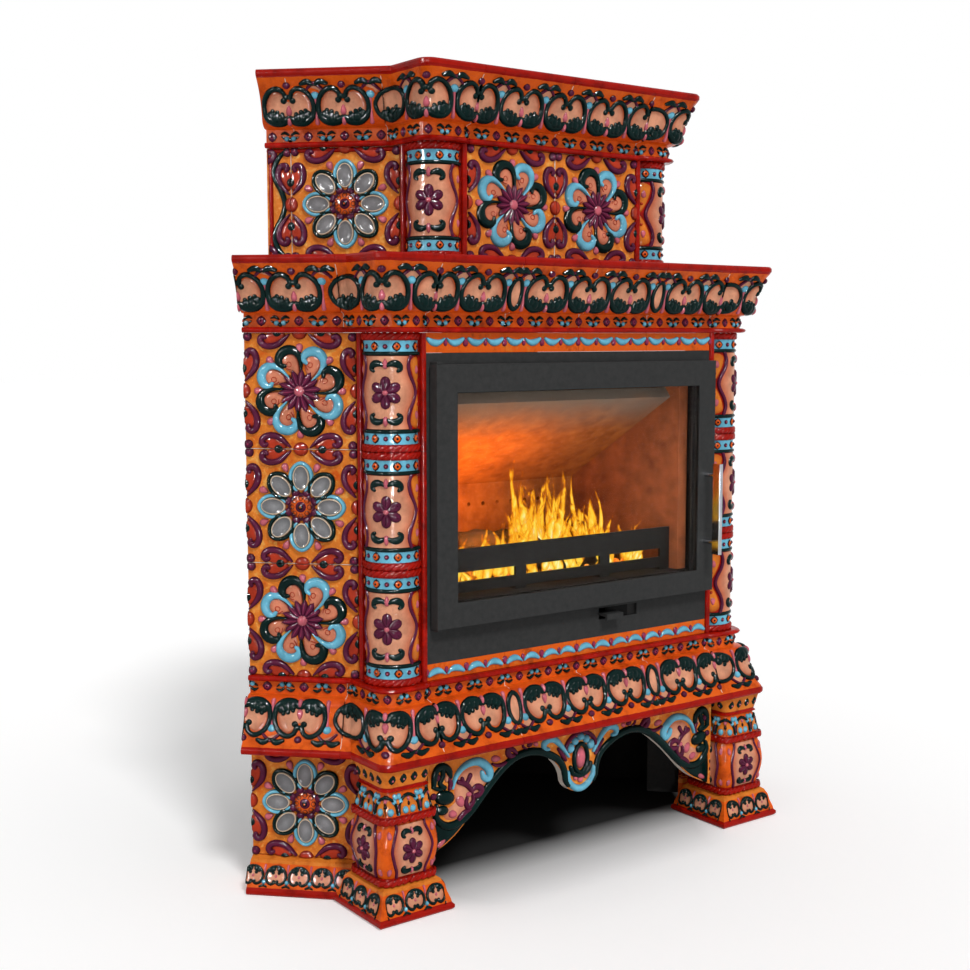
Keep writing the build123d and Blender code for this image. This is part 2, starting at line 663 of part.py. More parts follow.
def apron_half():
    """Right half of the scalloped apron, as a face in X, Z."""
    end_x = PED_X - PED_BELLY - FACING_GAP
    ax = APRON_ARCH_X
    az = APRON_ARCH_Z
    tip = APRON_TIP_Z
    drop = az - tip
    lobe = (ax * 0.31, tip + drop * 0.24)
    shoulder = (ax * 0.46, az - drop * 0.31)
    foot = (end_x - APRON_FOOT, APRON_END_Z + APRON_FOOT / 2)
    pendant = ThreePointArc((0, tip), (ax * 0.19, tip + drop * 0.06), lobe)
    notch = ThreePointArc(lobe, (ax * 0.35, tip + drop * 0.47), shoulder)
    slope = [(1.29, 0.07), (1.56, 0.31), (1.83, 0.63), (2.1, 1.01), (2.35, 1.3)]
    falling = [(ax * along, az - drop * down) for along, down in slope]
    arch = Spline(shoulder, (ax * 0.70, az - drop * 0.07), (ax, az), *falling, foot)
    return make_face([
        pendant, notch, arch, Line(foot, (end_x, APRON_END_Z)), Line((end_x, APRON_END_Z), (end_x, LEDGE_Z)),
        Line((end_x, LEDGE_Z), (0, LEDGE_Z)), Line((0, LEDGE_Z), (0, tip)),
    ])


def apron():
    """Three apron tiles, jointed at the outer quarters of the front."""
    half = extrude(Plane.XZ * apron_half(), APRON_T)
    half = half.moved(Location((0, APRON_T - APRON_FACE, 0)))
    whole = half + other(half)
    joint = box(-GROUT / 2, GROUT / 2, -RUMP, RUMP, 0, LEDGE_Z)
    place = FACING_HALF / 2
    return (whole - Pos(-place, 0, 0) * joint - Pos(place, 0, 0) * joint).solids()


def slab_outline(level, depth):
    """Plan of a slab that lies `depth` behind the tile faces and stops before the room corner."""
    depth += MORTAR
    corner = (-level.half + BEAD_R, level.front + depth)
    side_front = level.side_point(BLOCK_JOINT, -depth)
    side_back = level.side_point(level.run - WALL_GAP / ROOT2, -depth)
    line = WALL_C - WALL_GAP
    shift = (line - (side_back[1] - side_back[0])) / 2
    side_back = (side_back[0] - shift, side_back[1] + shift)
    rear = (-REAR_CUT, line - REAR_CUT)
    left = [corner, side_front, side_back, rear]
    return left + [(-x, y) for x, y in reversed(left)]


def base_blocks():
    """Aerated block wall behind the left side base tile, from the floor to the slab."""
    near = LOWER.side_point(BLOCK_JOINT * 2, -RUMP)
    far = LOWER.side_point(LOWER.run + BLOCK_T, -RUMP)
    near_in = LOWER.side_point(BLOCK_JOINT * 2, -RUMP - BLOCK_T)
    far_in = LOWER.side_point(LOWER.run + BLOCK_T, -RUMP - BLOCK_T)
    return prism([near, far, far_in, near_in], 0, LEDGE_Z) - ROOM


# ------------------------------------------------------------------ fire insert
def facing():
    """Steel front plate with the fire mouth and the slot of the air control."""
    plate = box(-FACING_HALF, FACING_HALF, 0, FACING_T, FACING_Z0, FACING_Z1)
    mouth = box(-MOUTH_HALF, MOUTH_HALF, -CUT_OVER, FACING_T + CUT_OVER, MOUTH_Z0, MOUTH_Z1)
    slot = box(SLOT_X0, SLOT_X1, -CUT_OVER, FACING_T + CUT_OVER, SLOT_Z - SLOT_H / 2, SLOT_Z + SLOT_H / 2)
    return plate - mouth - slot


def under_grate(z0, z1, grow=0.0):
    """The well under the grate, inside its ledge, or that space grown on all four sides."""
    half = GRATE_W / 2 - GRATE_LEDGE + grow
    depth = GRATE_D / 2 - GRATE_LEDGE + grow
    return box(-half, half, GRATE_Y - depth, GRATE_Y + depth, z0, z1)


def firebox_shell():
    """Welded steel body, open at the mouth and below, with the flue collar on top."""
    back = FACING_T + SHELL_D
    outer = box(-SHELL_HALF, SHELL_HALF, FACING_T, back, SHELL_Z0, SHELL_Z1)
    t = SHELL_T
    half = SHELL_HALF - t
    inner = box(-half, half, FACING_T - CUT_OVER, back - t, SHELL_Z0 - CUT_OVER, SHELL_Z1 - t)
    front = box(-SHELL_HALF, SHELL_HALF, FACING_T, FACING_T + t, SHELL_Z0, SHELL_Z1)
    mouth = box(-MOUTH_HALF, MOUTH_HALF, 0, FACING_T + t + CUT_OVER, MOUTH_Z0, MOUTH_Z1)
    bore_r = FLUE_D / 2 + FLUE_FIT
    collar = Pos(0, FLUE_Y, SHELL_Z1 + COLLAR_RISE / 2) * Cylinder(bore_r + t, COLLAR_RISE)
    bore = Pos(0, FLUE_Y, SHELL_Z1) * Cylinder(bore_r, 3 * COLLAR_RISE)
    return outer - inner + (front - mouth) + collar - bore


def firebox_floor():
    """Floor plate of the shell, set in between its walls, with the ash well cut out."""
    t = SHELL_T
    half = SHELL_HALF - t
    plate = box(-half, half, FACING_T + t, FACING_T + SHELL_D - t, SHELL_Z0, SHELL_Z0 + t)
    return plate - under_grate(SHELL_Z0 - CUT_OVER, SHELL_Z0 + t + CUT_OVER)


def ash_chamber():
    """Sheet box under the grate hole, open at the top and towards the air box."""
    low = SHELL_Z0 - ASH_DEPTH
    outer = under_grate(low, SHELL_Z0, SHELL_T)
    inner = under_grate(low + SHELL_T, SHELL_Z0 + CUT_OVER)
    return outer - inner - air_port()


def air_port():
    """Passage between the air box and the ash chamber."""
    half = GRATE_W / 2 - GRATE_LEDGE
    wall = GRATE_Y - GRATE_D / 2 + GRATE_LEDGE
    reach = 2 * SHELL_T + CUT_OVER
    return box(AIR_BOX_X0 + SHELL_T, half - SHELL_T, wall - reach, wall + CUT_OVER,
               AIR_BOX_Z0 + SHELL_T, SHELL_Z0 - 2 * SHELL_T)


def ash_pan():
    """Loose pan that stands in the ash chamber and lifts out through the grate hole."""
    low = SHELL_Z0 - ASH_DEPTH + SHELL_T
    outer = under_grate(low, low + PAN_H, -PAN_GAP)
    return outer - under_grate(low + PAN_T, low + PAN_H + CUT_OVER, -PAN_GAP - PAN_T)


def hearth_floor():
    """Fireclay floor with a stepped opening for the grate."""
    half = SHELL_HALF - SHELL_T
    back = FACING_T + SHELL_D - SHELL_T
    floor = box(-half, half, FACING_T + SHELL_T, back, SHELL_Z0 + SHELL_T, HEARTH_Z)
    seat = box(-GRATE_W / 2, GRATE_W / 2, GRATE_Y - GRATE_D / 2, GRATE_Y + GRATE_D / 2,
               HEARTH_Z - GRATE_T, HEARTH_Z + CUT_OVER)
    return floor - seat - under_grate(SHELL_Z0, HEARTH_Z)


def grate():
    """Cast grate with parallel slots, loose in its seat."""
    half = GRATE_W / 2 - GRATE_FIT
    depth = GRATE_D / 2 - GRATE_FIT
    plate = box(-half, half, GRATE_Y - depth, GRATE_Y + depth, HEARTH_Z - GRATE_T, HEARTH_Z)
    count = int((2 * half - GRATE_BORDER) / (2 * GRATE_SLOT))
    first = -(count - 1) * GRATE_SLOT
    for i in range(count):
        x = first + i * 2 * GRATE_SLOT
        plate -= box(x - GRATE_SLOT / 2, x + GRATE_SLOT / 2,
                     GRATE_Y - depth + GRATE_BORDER, GRATE_Y + depth - GRATE_BORDER,
                     HEARTH_Z - GRATE_T - CUT_OVER, HEARTH_Z + CUT_OVER)
    return plate


def lining_line(y):
    """Inner half width of the fire chamber at depth y."""
    share = (y - LINING_FRONT) / (LINING_BACK - LINING_FRONT)
    return LINING_FRONT_HALF + (LINING_BACK_HALF - LINING_FRONT_HALF) * share


def side_lining():
    """Left fireclay side slab, splayed towards the mouth."""
    y0 = LINING_FRONT
    y1 = LINING_BACK + LINING_T
    points = [(-lining_line(y0), y0), (-lining_line(y1), y1),
              (-lining_line(y1) - LINING_T, y1), (-lining_line(y0) - LINING_T, y0)]
    return prism(points, HEARTH_Z, LINING_TOP + LINING_T)


def between_linings(solid):
    """Trim a slab of the fire chamber to the splay of the side slabs."""
    y0 = -LINING_T
    y1 = SHELL_D
    wedge = [(-lining_line(y0) + FACING_GAP, y0), (-lining_line(y1) + FACING_GAP, y1),
             (lining_line(y1) - FACING_GAP, y1), (lining_line(y0) - FACING_GAP, y0)]
    return solid & prism(wedge, HEARTH_Z - CUT_OVER, SHELL_Z1)


def back_lining():
    """Lower back slab with a row of air holes."""
    slab = box(-SHELL_HALF, SHELL_HALF, LINING_BACK, LINING_BACK + LINING_T, HEARTH_Z, LINING_KNEE)
    bit = Rot(90, 0, 0) * Cylinder(AIR_HOLE / 2, 2 * LINING_T)
    hole = Pos(0, LINING_BACK + LINING_T / 2, AIR_HOLE_Z) * bit
    for i in range(AIR_HOLE_COUNT):
        slab -= Pos((i - (AIR_HOLE_COUNT - 1) / 2) * AIR_HOLE_PITCH, 0, 0) * hole
    return between_linings(slab)


def leaning_lining():
    """Upper back slab, which leans forward and drives the gas round its front edge."""
    run = LINING_LEAN_Y - LINING_BACK
    rise = LINING_TOP - LINING_KNEE
    length = sqrt(run * run + rise * rise)
    over = (rise / length * LINING_T, -run / length * LINING_T)
    slope = rise / run
    back = LINING_BACK + LINING_T
    top_back = LINING_TOP + over[1] + slope * (back - LINING_LEAN_Y - over[0])
    outline = [(LINING_BACK, LINING_KNEE), (LINING_LEAN_Y, LINING_TOP),
               (LINING_LEAN_Y + over[0], LINING_TOP + over[1]), (back, top_back), (back, LINING_KNEE)]
    face = make_face(Plane.YZ * Polyline(*outline, close=True))
    return between_linings(extrude(face, SHELL_HALF, both=True))


def smoke_baffle():
    """Steel plate on two ledges under the top of the shell; gas passes in front of it."""
    t = SHELL_T
    half = SHELL_HALF - t
    back = FACING_T + SHELL_D - t
    plate = box(-half, half, BAFFLE_Y, back, BAFFLE_Z, BAFFLE_Z + t)
    lip = box(-half, half, BAFFLE_Y, BAFFLE_Y + t, BAFFLE_Z, BAFFLE_Z + 5 * t)
    return plate + lip


def log_guard():
    """Two flat bars on posts that keep the logs off the glass."""
    y0 = GUARD_Y - GUARD_T / 2
    y1 = GUARD_Y + GUARD_T / 2
    guard = box(-GUARD_HALF, GUARD_HALF, y0, y1, GUARD_TOP - GUARD_BAR, GUARD_TOP)
    guard += box(-GUARD_HALF, GUARD_HALF, y0, y1, GUARD_LOW_Z, GUARD_LOW_Z + GUARD_LOW)
    half = GUARD_POST / 2
    for x in (-GUARD_HALF + half, -GUARD_POST_X, GUARD_POST_X, GUARD_HALF - half):
        guard += box(x - half, x + half, y0, y1, HEARTH_Z, GUARD_TOP)
        guard += box(x - half, x + half, y1, y1 + GUARD_FOOT, HEARTH_Z, HEARTH_Z + GUARD_T)
    return guard


def insert_stand():
    """Angle-steel stand that carries the fire insert on the base slab."""
    low = LEDGE_Z + SLAB_T
    w = STAND_LEG / 2
    foot = box(-2 * w, 2 * w, -2 * w, 2 * w, low, low + SHELL_T)
    leg = box(-w, w, -w, w, low, SHELL_Z0)
    stand = box(-STAND_X, STAND_X, STAND_Y0, STAND_Y0 + STAND_LEG, low + STAND_LEG, low + 2 * STAND_LEG)
    stand += box(-STAND_X, STAND_X, STAND_Y1 - STAND_LEG, STAND_Y1, low + STAND_LEG, low + 2 * STAND_LEG)
    for x in (-STAND_X, STAND_X):
        stand += box(x - w, x + w, STAND_Y0, STAND_Y1, SHELL_Z0 - STAND_LEG, SHELL_Z0)
        for y in (STAND_Y0 + w, STAND_Y1 - w):
            stand += Pos(x, y, 0) * (leg + foot)
    return stand


# ------------------------------------------------------------------ door
def ring(half_in, z0_in, z1_in, grow, y0, y1):
    """Upright rectangular ring round an opening, `grow` wide."""
    outer = box(-half_in - grow, half_in + grow, y0, y1, z0_in - grow, z1_in + grow)
    return outer - box(-half_in, half_in, y0 - CUT_OVER, y1 + CUT_OVER, z0_in, z1_in)


def door_pan():
    """Folded steel door: a front sheet with turned edges and a window."""
    sheet_back = -DOOR_FACE + DOOR_SHEET
    pan = box(-DOOR_HALF, DOOR_HALF, -DOOR_FACE, -DOOR_GAP, DOOR_Z0, DOOR_Z1)
    pan -= box(-DOOR_HALF + DOOR_SHEET, DOOR_HALF - DOOR_SHEET, sheet_back, 0,
               DOOR_Z0 + DOOR_SHEET, DOOR_Z1 - DOOR_SHEET)
    pan -= box(-WINDOW_HALF, WINDOW_HALF, -DOOR_FACE - CUT_OVER, sheet_back + CUT_OVER, WINDOW_Z0, WINDOW_Z1)
    pan -= Pos(-HINGE_X, -HINGE_Y, (DOOR_Z0 + DOOR_Z1) / 2) * Cylinder(PIN_R + KNUCKLE_GAP, 2 * DOOR_Z1)
    return pan


def door_glass():
    y0 = -DOOR_FACE + DOOR_SHEET
    return box(-WINDOW_HALF - GLASS_LAP, WINDOW_HALF + GLASS_LAP, y0, y0 + GLASS_T,
               WINDOW_Z0 - GLASS_LAP, WINDOW_Z1 + GLASS_LAP)


def glass_retainer():
    """Stepped frame that holds the glass and carries the rope seal."""
    y0 = -DOOR_FACE + DOOR_SHEET
    lap = GLASS_LAP + KNUCKLE_GAP
    rim = ring(WINDOW_HALF + lap, WINDOW_Z0 - lap, WINDOW_Z1 + lap, RETAINER_RIM, y0, -SEAL_BACK)
    clamp = ring(WINDOW_HALF + 2, WINDOW_Z0 - 2, WINDOW_Z1 + 2, lap, y0 + GLASS_T, y0 + GLASS_T + RETAINER_T)
    return rim + clamp


def door_seal():
    """Rope seal between the retainer frame and the facing."""
    lap = GLASS_LAP + KNUCKLE_GAP + (RETAINER_RIM - SEAL_W) / 2
    return ring(WINDOW_HALF + lap, WINDOW_Z0 - lap, WINDOW_Z1 + lap, SEAL_W, -SEAL_BACK, -KNUCKLE_GAP)


def hinge_ends():
    """Height and direction of both hinges: (edge of the door, sign away from the door)."""
    return [(DOOR_Z1, 1), (DOOR_Z0, -1)]


def hinge_lug(edge, away):
    """Plate on the facing that reaches over the door's edge and holds the pin."""
    z0 = edge + away * KNUCKLE_GAP
    z1 = z0 + away * LUG_T
    half = LUG_W / 2
    plate = box(-HINGE_X - half, -HINGE_X + half, -HINGE_Y - half, 0, min(z0, z1), max(z0, z1))
    return plate - Pos(-HINGE_X, -HINGE_Y, z0) * Cylinder(PIN_R, 4 * LUG_T)


def hinge_pin(edge, away):
    far = edge + away * (KNUCKLE_GAP + LUG_T)
    near = edge - away * (DOOR_SHEET + BUSH_H)
    return Pos(-HINGE_X, -HINGE_Y, (far + near) / 2) * Cylinder(PIN_R, abs(far - near))


def hinge_bush(edge, away):
    """Bearing block inside the door's edge, bored for the pin."""
    z0 = edge - away * DOOR_SHEET
    z1 = z0 - away * BUSH_H
    depth = DOOR_FACE - DOOR_SHEET - HINGE_Y
    block = box(-HINGE_X - BUSH_W / 2, -HINGE_X + BUSH_W / 2, -HINGE_Y - depth, -HINGE_Y + BUSH_W / 2,
                min(z0, z1), max(z0, z1))
    return block - Pos(-HINGE_X, -HINGE_Y, (z0 + z1) / 2) * Cylinder(PIN_R + PIN_FIT, 2 * BUSH_H)


def door_handle():
    """Upright pull bar on two posts."""
    bar = box(HANDLE_X - HANDLE_W / 2, HANDLE_X + HANDLE_W / 2, -HANDLE_OUT, -HANDLE_OUT + HANDLE_D,
              HANDLE_Z - HANDLE_L / 2, HANDLE_Z + HANDLE_L / 2)
    bar = fillet(bar.edges().filter_by(Axis.Z), HANDLE_W * 0.2)
    for z in (HANDLE_Z - HANDLE_L / 2 + POST_INSET, HANDLE_Z + HANDLE_L / 2 - POST_INSET):
        length = HANDLE_OUT - HANDLE_D / 2 - DOOR_FACE
        bar += Pos(HANDLE_X, -DOOR_FACE - length / 2, z) * Rot(90, 0, 0) * Cylinder(POST_R, length)
    return bar


def catch_roller():
    """Roller on a bracket inside the free edge of the door."""
    y_back = -DOOR_FACE + DOOR_SHEET
    y_axis = y_back + ROLLER_R + 2
    bracket = box(ROLLER_X - ROLLER_R, ROLLER_X, y_back, y_axis, HANDLE_Z - ROLLER_H, HANDLE_Z + ROLLER_H)
    bracket -= box(ROLLER_X - 2 * ROLLER_R, ROLLER_X + CUT_OVER, y_back + RETAINER_T, y_axis + CUT_OVER,
                   HANDLE_Z - ROLLER_H / 2 - CUT_OVER, HANDLE_Z + ROLLER_H / 2 + CUT_OVER)
    roller = Pos(ROLLER_X - ROLLER_R, y_axis, HANDLE_Z) * Cylinder(ROLLER_R * 0.8, ROLLER_H)
    pin = Pos(ROLLER_X - ROLLER_R, y_axis, HANDLE_Z) * Cylinder(ROLLER_R * 0.3, 2 * ROLLER_H)
    return bracket + roller + pin


def catch_spring():
    """Spring plate on the facing that presses beside the roller."""
    x0 = ROLLER_X + KNUCKLE_GAP
    plate = box(x0, x0 + RETAINER_T, -HINGE_Y, 0, HANDLE_Z - ROLLER_H, HANDLE_Z + ROLLER_H)
    foot = box(x0 - LUG_W / 2, x0 + RETAINER_T, -RETAINER_T, 0, HANDLE_Z - ROLLER_H, HANDLE_Z + ROLLER_H)
    return plate + foot


# ------------------------------------------------------------------ air control
def air_box():
    """Sheet duct behind the facing slot, with the guide channel of the slide."""
    y1 = GRATE_Y - GRATE_D / 2 + GRATE_LEDGE - SHELL_T
    t = SHELL_T
    body = box(AIR_BOX_X0, AIR_BOX_X1, FACING_T, y1, AIR_BOX_Z0, SHELL_Z0)
    channel_back = FACING_T + SLIDE_T + 2 * SLIDE_FIT
    body -= box(AIR_BOX_X0 - CUT_OVER, AIR_BOX_X1 + CUT_OVER, FACING_T - CUT_OVER, channel_back,
                SLIDE_Z0 - SLIDE_FIT, SLIDE_Z1 + SLIDE_FIT)
    body -= box(AIR_BOX_X0 + t, AIR_BOX_X1 - t, channel_back + t, y1 - t, AIR_BOX_Z0 + t, SHELL_Z0 - t)
    body -= air_port()
    return body - ports(channel_back, 4 * t)


def ports(y, reach):
    """The two square ports that the shutter opens and closes, as cutting blocks."""
    port = Pos(PORT_X, y, SLOT_Z) * Box(AIR_PORT, reach, AIR_PORT)
    return [port, Pos(PORT_PITCH, 0, 0) * port]


def air_slide():
    """Shutter plate with the tab that comes out through the facing."""
    y0 = FACING_T + SLIDE_FIT
    x0 = SLOT_X0 + (SLOT_X1 - SLOT_X0 - SLIDE_TRAVEL - TAB_W) / 2
    plate = box(SLIDE_X0, SLIDE_X1, y0, y0 + SLIDE_T, SLIDE_Z0, SLIDE_Z1)
    plate -= ports(y0, 4 * SLIDE_T)
    tab = box(x0, x0 + TAB_W, -TAB_OUT, y0, SLOT_Z - TAB_T / 2, SLOT_Z + TAB_T / 2)
    lip = box(x0, x0 + TAB_W, -TAB_OUT, -TAB_OUT + TAB_T, SLOT_Z - TAB_T * 1.5, SLOT_Z + TAB_T / 2)
    return plate + tab + lip


# ------------------------------------------------------------------ slabs and flue
def flue_pipe():
    z0 = SHELL_Z1 + COLLAR_RISE - FLUE_SOCKET
    height = CROWN_Z1 - z0
    pipe = Cylinder(FLUE_D / 2, height) - Cylinder(FLUE_D / 2 - FLUE_T, height + 2 * CUT_OVER)
    return Pos(0, FLUE_Y, z0 + height / 2) * pipe


def top_slab(level, z1):
    """Cover slab behind a cornice, bored for the flue pipe."""
    slab = prism(slab_outline(level, RUMP), z1 - TOP_SLAB_T, z1)
    return slab - Pos(0, FLUE_Y, z1) * Cylinder(FLUE_D / 2 + FLUE_FIT, 4 * TOP_SLAB_T)


def rear_pier():
    y1 = WALL_C - WALL_GAP - REAR_CUT - PIER_GAP
    return box(-PIER_W / 2, PIER_W / 2, y1 - PIER_D, y1, 0, LEDGE_Z)


# ------------------------------------------------------------------ assembly
def add_base():
    add("base_slab", prism(slab_outline(LOWER, RUMP), LEDGE_Z, LEDGE_Z + SLAB_T))
    add("rear_pier", rear_pier())
    add("base_block_walls", base_blocks(), other(base_blocks()))
    tile = LOWER.side_frame(TILE, PED_COVE_TOP) * flower_tile(0, LEDGE_Z - PED_COVE_TOP)
    tile = tile - ROOM
    add("base_side_tiles", tile, other(tile))
    plinth = side_plinth()
    add("side_plinths", plinth, other(plinth))
    for name, make in (("feet", pedestal_foot), ("shafts", pedestal_shaft), ("capitals", pedestal_capital)):
        piece = Pos(-PED_X, PED_Y, 0) * make()
        add("pedestal_" + name, piece, other(piece))
    add("apron_tiles", *apron())


def add_cornices():
    for name, level, z0, upside_down, count in (
            ("ledge", LOWER, LEDGE_Z, True, 4), ("cornice", LOWER, CORNICE_Z0, False, 4),
            ("crown", UPPER, CROWN_Z0, False, 2)):
        front, corner, side = cornice(level, z0, upside_down, count)
        add(name + "_front_tiles", *front)
        add(name + "_corner_left", corner)
        add(name + "_corner_right", other(corner))
        add(name + "_side_tiles", side, other(side))
    add("ledge_listel", *listel(LOWER, LEDGE_TOP))
    add("cornice_listel", *listel(LOWER, BODY_Z1))
    add("crown_listel", *listel(UPPER, UPPER_Z1))


def add_body():
    left = [tile - ROOM for tile in side_tiles(LOWER, BODY_Z0, COURSES)]
    add("body_side_tiles", *left, *[other(tile) for tile in left])
    stack = columns(LOWER, BODY_Z0, COURSES)
    add("body_column_left", *stack)
    add("body_column_right", *[other(tile) for tile in stack])
    add("frieze_tiles_upper", *frieze(FACING_Z1, BODY_Z1))
    add("frieze_tiles_lower", *frieze(BODY_Z0, FACING_Z0))
    add("mantel_slab", top_slab(LOWER, CORNICE_Z1))
    tile = Pos(0, UPPER_SETBACK, CORNICE_Z1) * flower_tile(HALF_TURN)
    add("upper_front_tiles", Pos(-TILE, 0, 0) * tile, tile)
    side = upper_side_tiles()
    add("upper_side_tiles", *side, *[other(tile) for tile in side])
    stack = columns(UPPER, CORNICE_Z1, 1)
    add("upper_columns", *stack, *[other(tile) for tile in stack])
    add("crown_slab", top_slab(UPPER, CROWN_Z1))


def add_insert():
    add("insert_stand", insert_stand())
    add("firebox_shell", firebox_shell())
    add("firebox_floor", firebox_floor())
    add("ash_chamber", ash_chamber())
    add("insert_facing", facing())
    add("hearth_floor", hearth_floor())
    add("grate", grate())
    add("ash_pan", ash_pan())
    add("side_linings", side_lining(), other(side_lining()))
    add("back_lining", back_lining())
    add("leaning_lining", leaning_lining())
    add("smoke_baffle", smoke_baffle())
    add("log_guard", log_guard())
    add("air_box", air_box())
    add("air_slide", air_slide())
    add("flue_pipe", flue_pipe())


def add_door():
    add("door_pan", door_pan())
    add("door_glass", door_glass())
    add("glass_retainer", glass_retainer())
    add("door_seal", door_seal())
    add("hinge_bushes", *[hinge_bush(edge, away) for edge, away in hinge_ends()])
    add("hinge_lugs", *[hinge_lug(edge, away) for edge, away in hinge_ends()])
    add("hinge_pins", *[hinge_pin(edge, away) for edge, away in hinge_ends()])
    add("door_handle", door_handle())
    add("catch_roller", catch_roller())
    add("catch_spring", catch_spring())


def write_parts():
    """Move the whole so that the origin is on the floor under the middle of its box, and write it."""
    boxes = [shape.bounding_box() for shape in PARTS.values()]
    middle = (min(b.min.Y for b in boxes) + max(b.max.Y for b in boxes)) / 2
    os.makedirs("parts", exist_ok=True)
    for name, shape in PARTS.items():
        export_step(shape.moved(Location((0, -middle, 0))), "parts/" + name + ".step")
    print("nodes", len(PARTS), "front plane at Y =", round(-middle, 4))


add_base()
add_cornices()
add_body()
add_insert()
add_door()
write_parts()
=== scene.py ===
"""Finish of a corner tiled stove: glazed relief tiles, fire insert, fire and stage."""
import math

import bmesh
import bpy
import numpy as np
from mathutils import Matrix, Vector


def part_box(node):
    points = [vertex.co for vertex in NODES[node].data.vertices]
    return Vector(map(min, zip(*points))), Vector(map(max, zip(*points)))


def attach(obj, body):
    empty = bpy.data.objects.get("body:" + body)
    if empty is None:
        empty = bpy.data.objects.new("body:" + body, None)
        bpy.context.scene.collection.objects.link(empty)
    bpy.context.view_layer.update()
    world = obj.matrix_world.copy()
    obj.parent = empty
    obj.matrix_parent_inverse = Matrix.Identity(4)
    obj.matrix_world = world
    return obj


bl_info = {
    "name": "Corner Tiled Stove",
    "version": (1, 0, 0),
    "blender": (4, 5, 0),
    "location": "3D View > Sidebar > Tiled Stove",
    "description": "Dresses the stove's solids with glazed relief, an insert, a fire and a stage",
    "category": "Object",
}

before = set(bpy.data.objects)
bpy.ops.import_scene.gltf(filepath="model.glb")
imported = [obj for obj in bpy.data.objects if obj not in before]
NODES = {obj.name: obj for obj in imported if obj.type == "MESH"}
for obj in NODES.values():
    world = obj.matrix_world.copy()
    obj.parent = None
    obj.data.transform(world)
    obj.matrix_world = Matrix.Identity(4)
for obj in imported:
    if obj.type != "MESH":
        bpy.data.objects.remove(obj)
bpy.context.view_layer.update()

MM = 0.001
ROOT2 = math.sqrt(2.0)
SINK = 0.8                    # how deep the edge of a relief form lies under the glaze

# ---- sizes of the solids, in mm
FRONT_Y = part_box("frieze_tiles_upper")[0][1] / MM      # the front plane of the lower body
TILE = 220.0                  # pitch of a whole square tile
EDGE = TILE / 2               # its joint, from its middle
LEDGE_Z = 284.0               # underside of the ledge
BODY_Z = 426.0                # foot of the lower body's tiles
CORNICE_Z = 1096.0            # foot of the middle cornice
UPPER_Z = 1228.0              # foot of the upper body's tiles
CROWN_Z = 1458.0              # foot of the crown cornice
CORNICE_H = 132.0
FRONT_HALF = 376.0            # half width of the lower front, and of the upper one
UPPER_HALF = 226.0
UPPER_BACK = 78.0             # upper front face behind the lower one
BEVEL = 85.0
SIDE_INSET = 8.0
BLOCK_LEFT = 125.0            # joints of a corner block, left and right of its corner
BLOCK_RIGHT = 114.0
RAISED = 2.5                  # height of the fields that a square tile itself carries
COVE_RAISED = 2.0             # and of those in a cornice's cove
RING_PITCH = 109.0            # from one whole ring of a cornice to the next
SHAFT_RADIUS = 50.0           # of a column tile
PEDESTAL_X = 444.5            # middle of a pedestal
PEDESTAL_Y = 5.5
PEDESTAL_CORNER = 18          # corner radius of its shaft
FOOT_LIMIT = 83.4             # nothing on its foot stands out further
JOINT_W = 1.3                 # width of the slip in a joint between square tiles
JOINT_STEPS = (-108, -50, 0, 50, 108)
STRAND_PITCH = 12.5           # of a twisted cord
BAND_PITCH = 74.0             # from one diamond of a cornice's band to the next

# ---- fire, in mm
FLAMES = 150                  # tongues in all; those past the first ones burn low at the guard
HIGH_FLAMES = 96
FLAME_PLACES = (-245, -130, -70, 0, 70, 140, 200, 245)
FLAME_SHARES = (0.24, 0.27, 0.52, 0.92, 1.0, 0.86, 0.5, 0.38)      # of the full height at those places
EMBERS = 150
HEARTH_Z = 573

# ---- camera and glaze
FOCAL = 52.055                # lens in mm on a 36 mm sensor
CAMERA_PLACE = (-1.82903, (-2172.007 + FRONT_Y) * MM, 1.081135)
CAMERA_HEADING = 53.693       # degrees from +X, and down from level
CAMERA_PITCH = 6.099
GLAZE_SHINE = 0.07            # level of the even reflection, beside the gleams of the lamps
GLEAM = 0.09                  # roughness of a glaze at its smoothest
BOARDS_MEET = 0.755           # where the boards of painted niche shade meet, behind the front plane, in m


def cos_sin(degrees):
    """Cosine and sine of an angle in degrees."""
    return math.cos(math.radians(degrees)), math.sin(math.radians(degrees))


def even(value):
    """A grey with the same value in all three channels."""
    return (value,) * 3


def sided(flip, points):
    """Points as given, or mirrored in the middle line where flip is -1."""
    return [(flip * x, y) for x, y in points]


BLACK, WHITE = even(0), even(1)


# ------------------------------------------------------------------ settings
class StoveSizes(bpy.types.PropertyGroup):
    """Height of the ornament and the flames, and the size of the floor."""

    relief: bpy.props.FloatProperty(
        name="Relief", description="Height of the modelled ornament against the drawn one",
        default=1.0, min=0.2, max=1.5)
    flame_height: bpy.props.FloatProperty(
        name="Flame height", description="Height of the tallest flame over the hearth",
        default=0.27, unit="LENGTH", subtype="DISTANCE")
    floor_size: bpy.props.FloatProperty(
        name="Floor", description="Side of the square floor",
        default=60.0, unit="LENGTH", subtype="DISTANCE")


def rgb(red, green, blue):
    """A colour given as 0..255 display values, in linear light."""
    def linear(value):
        """One channel in linear light."""
        value /= 255.0
        return value / 12.92 if value <= 0.04045 else ((value + 0.055) / 1.055) ** 2.4
    return tuple(linear(value) for value in (red, green, blue))


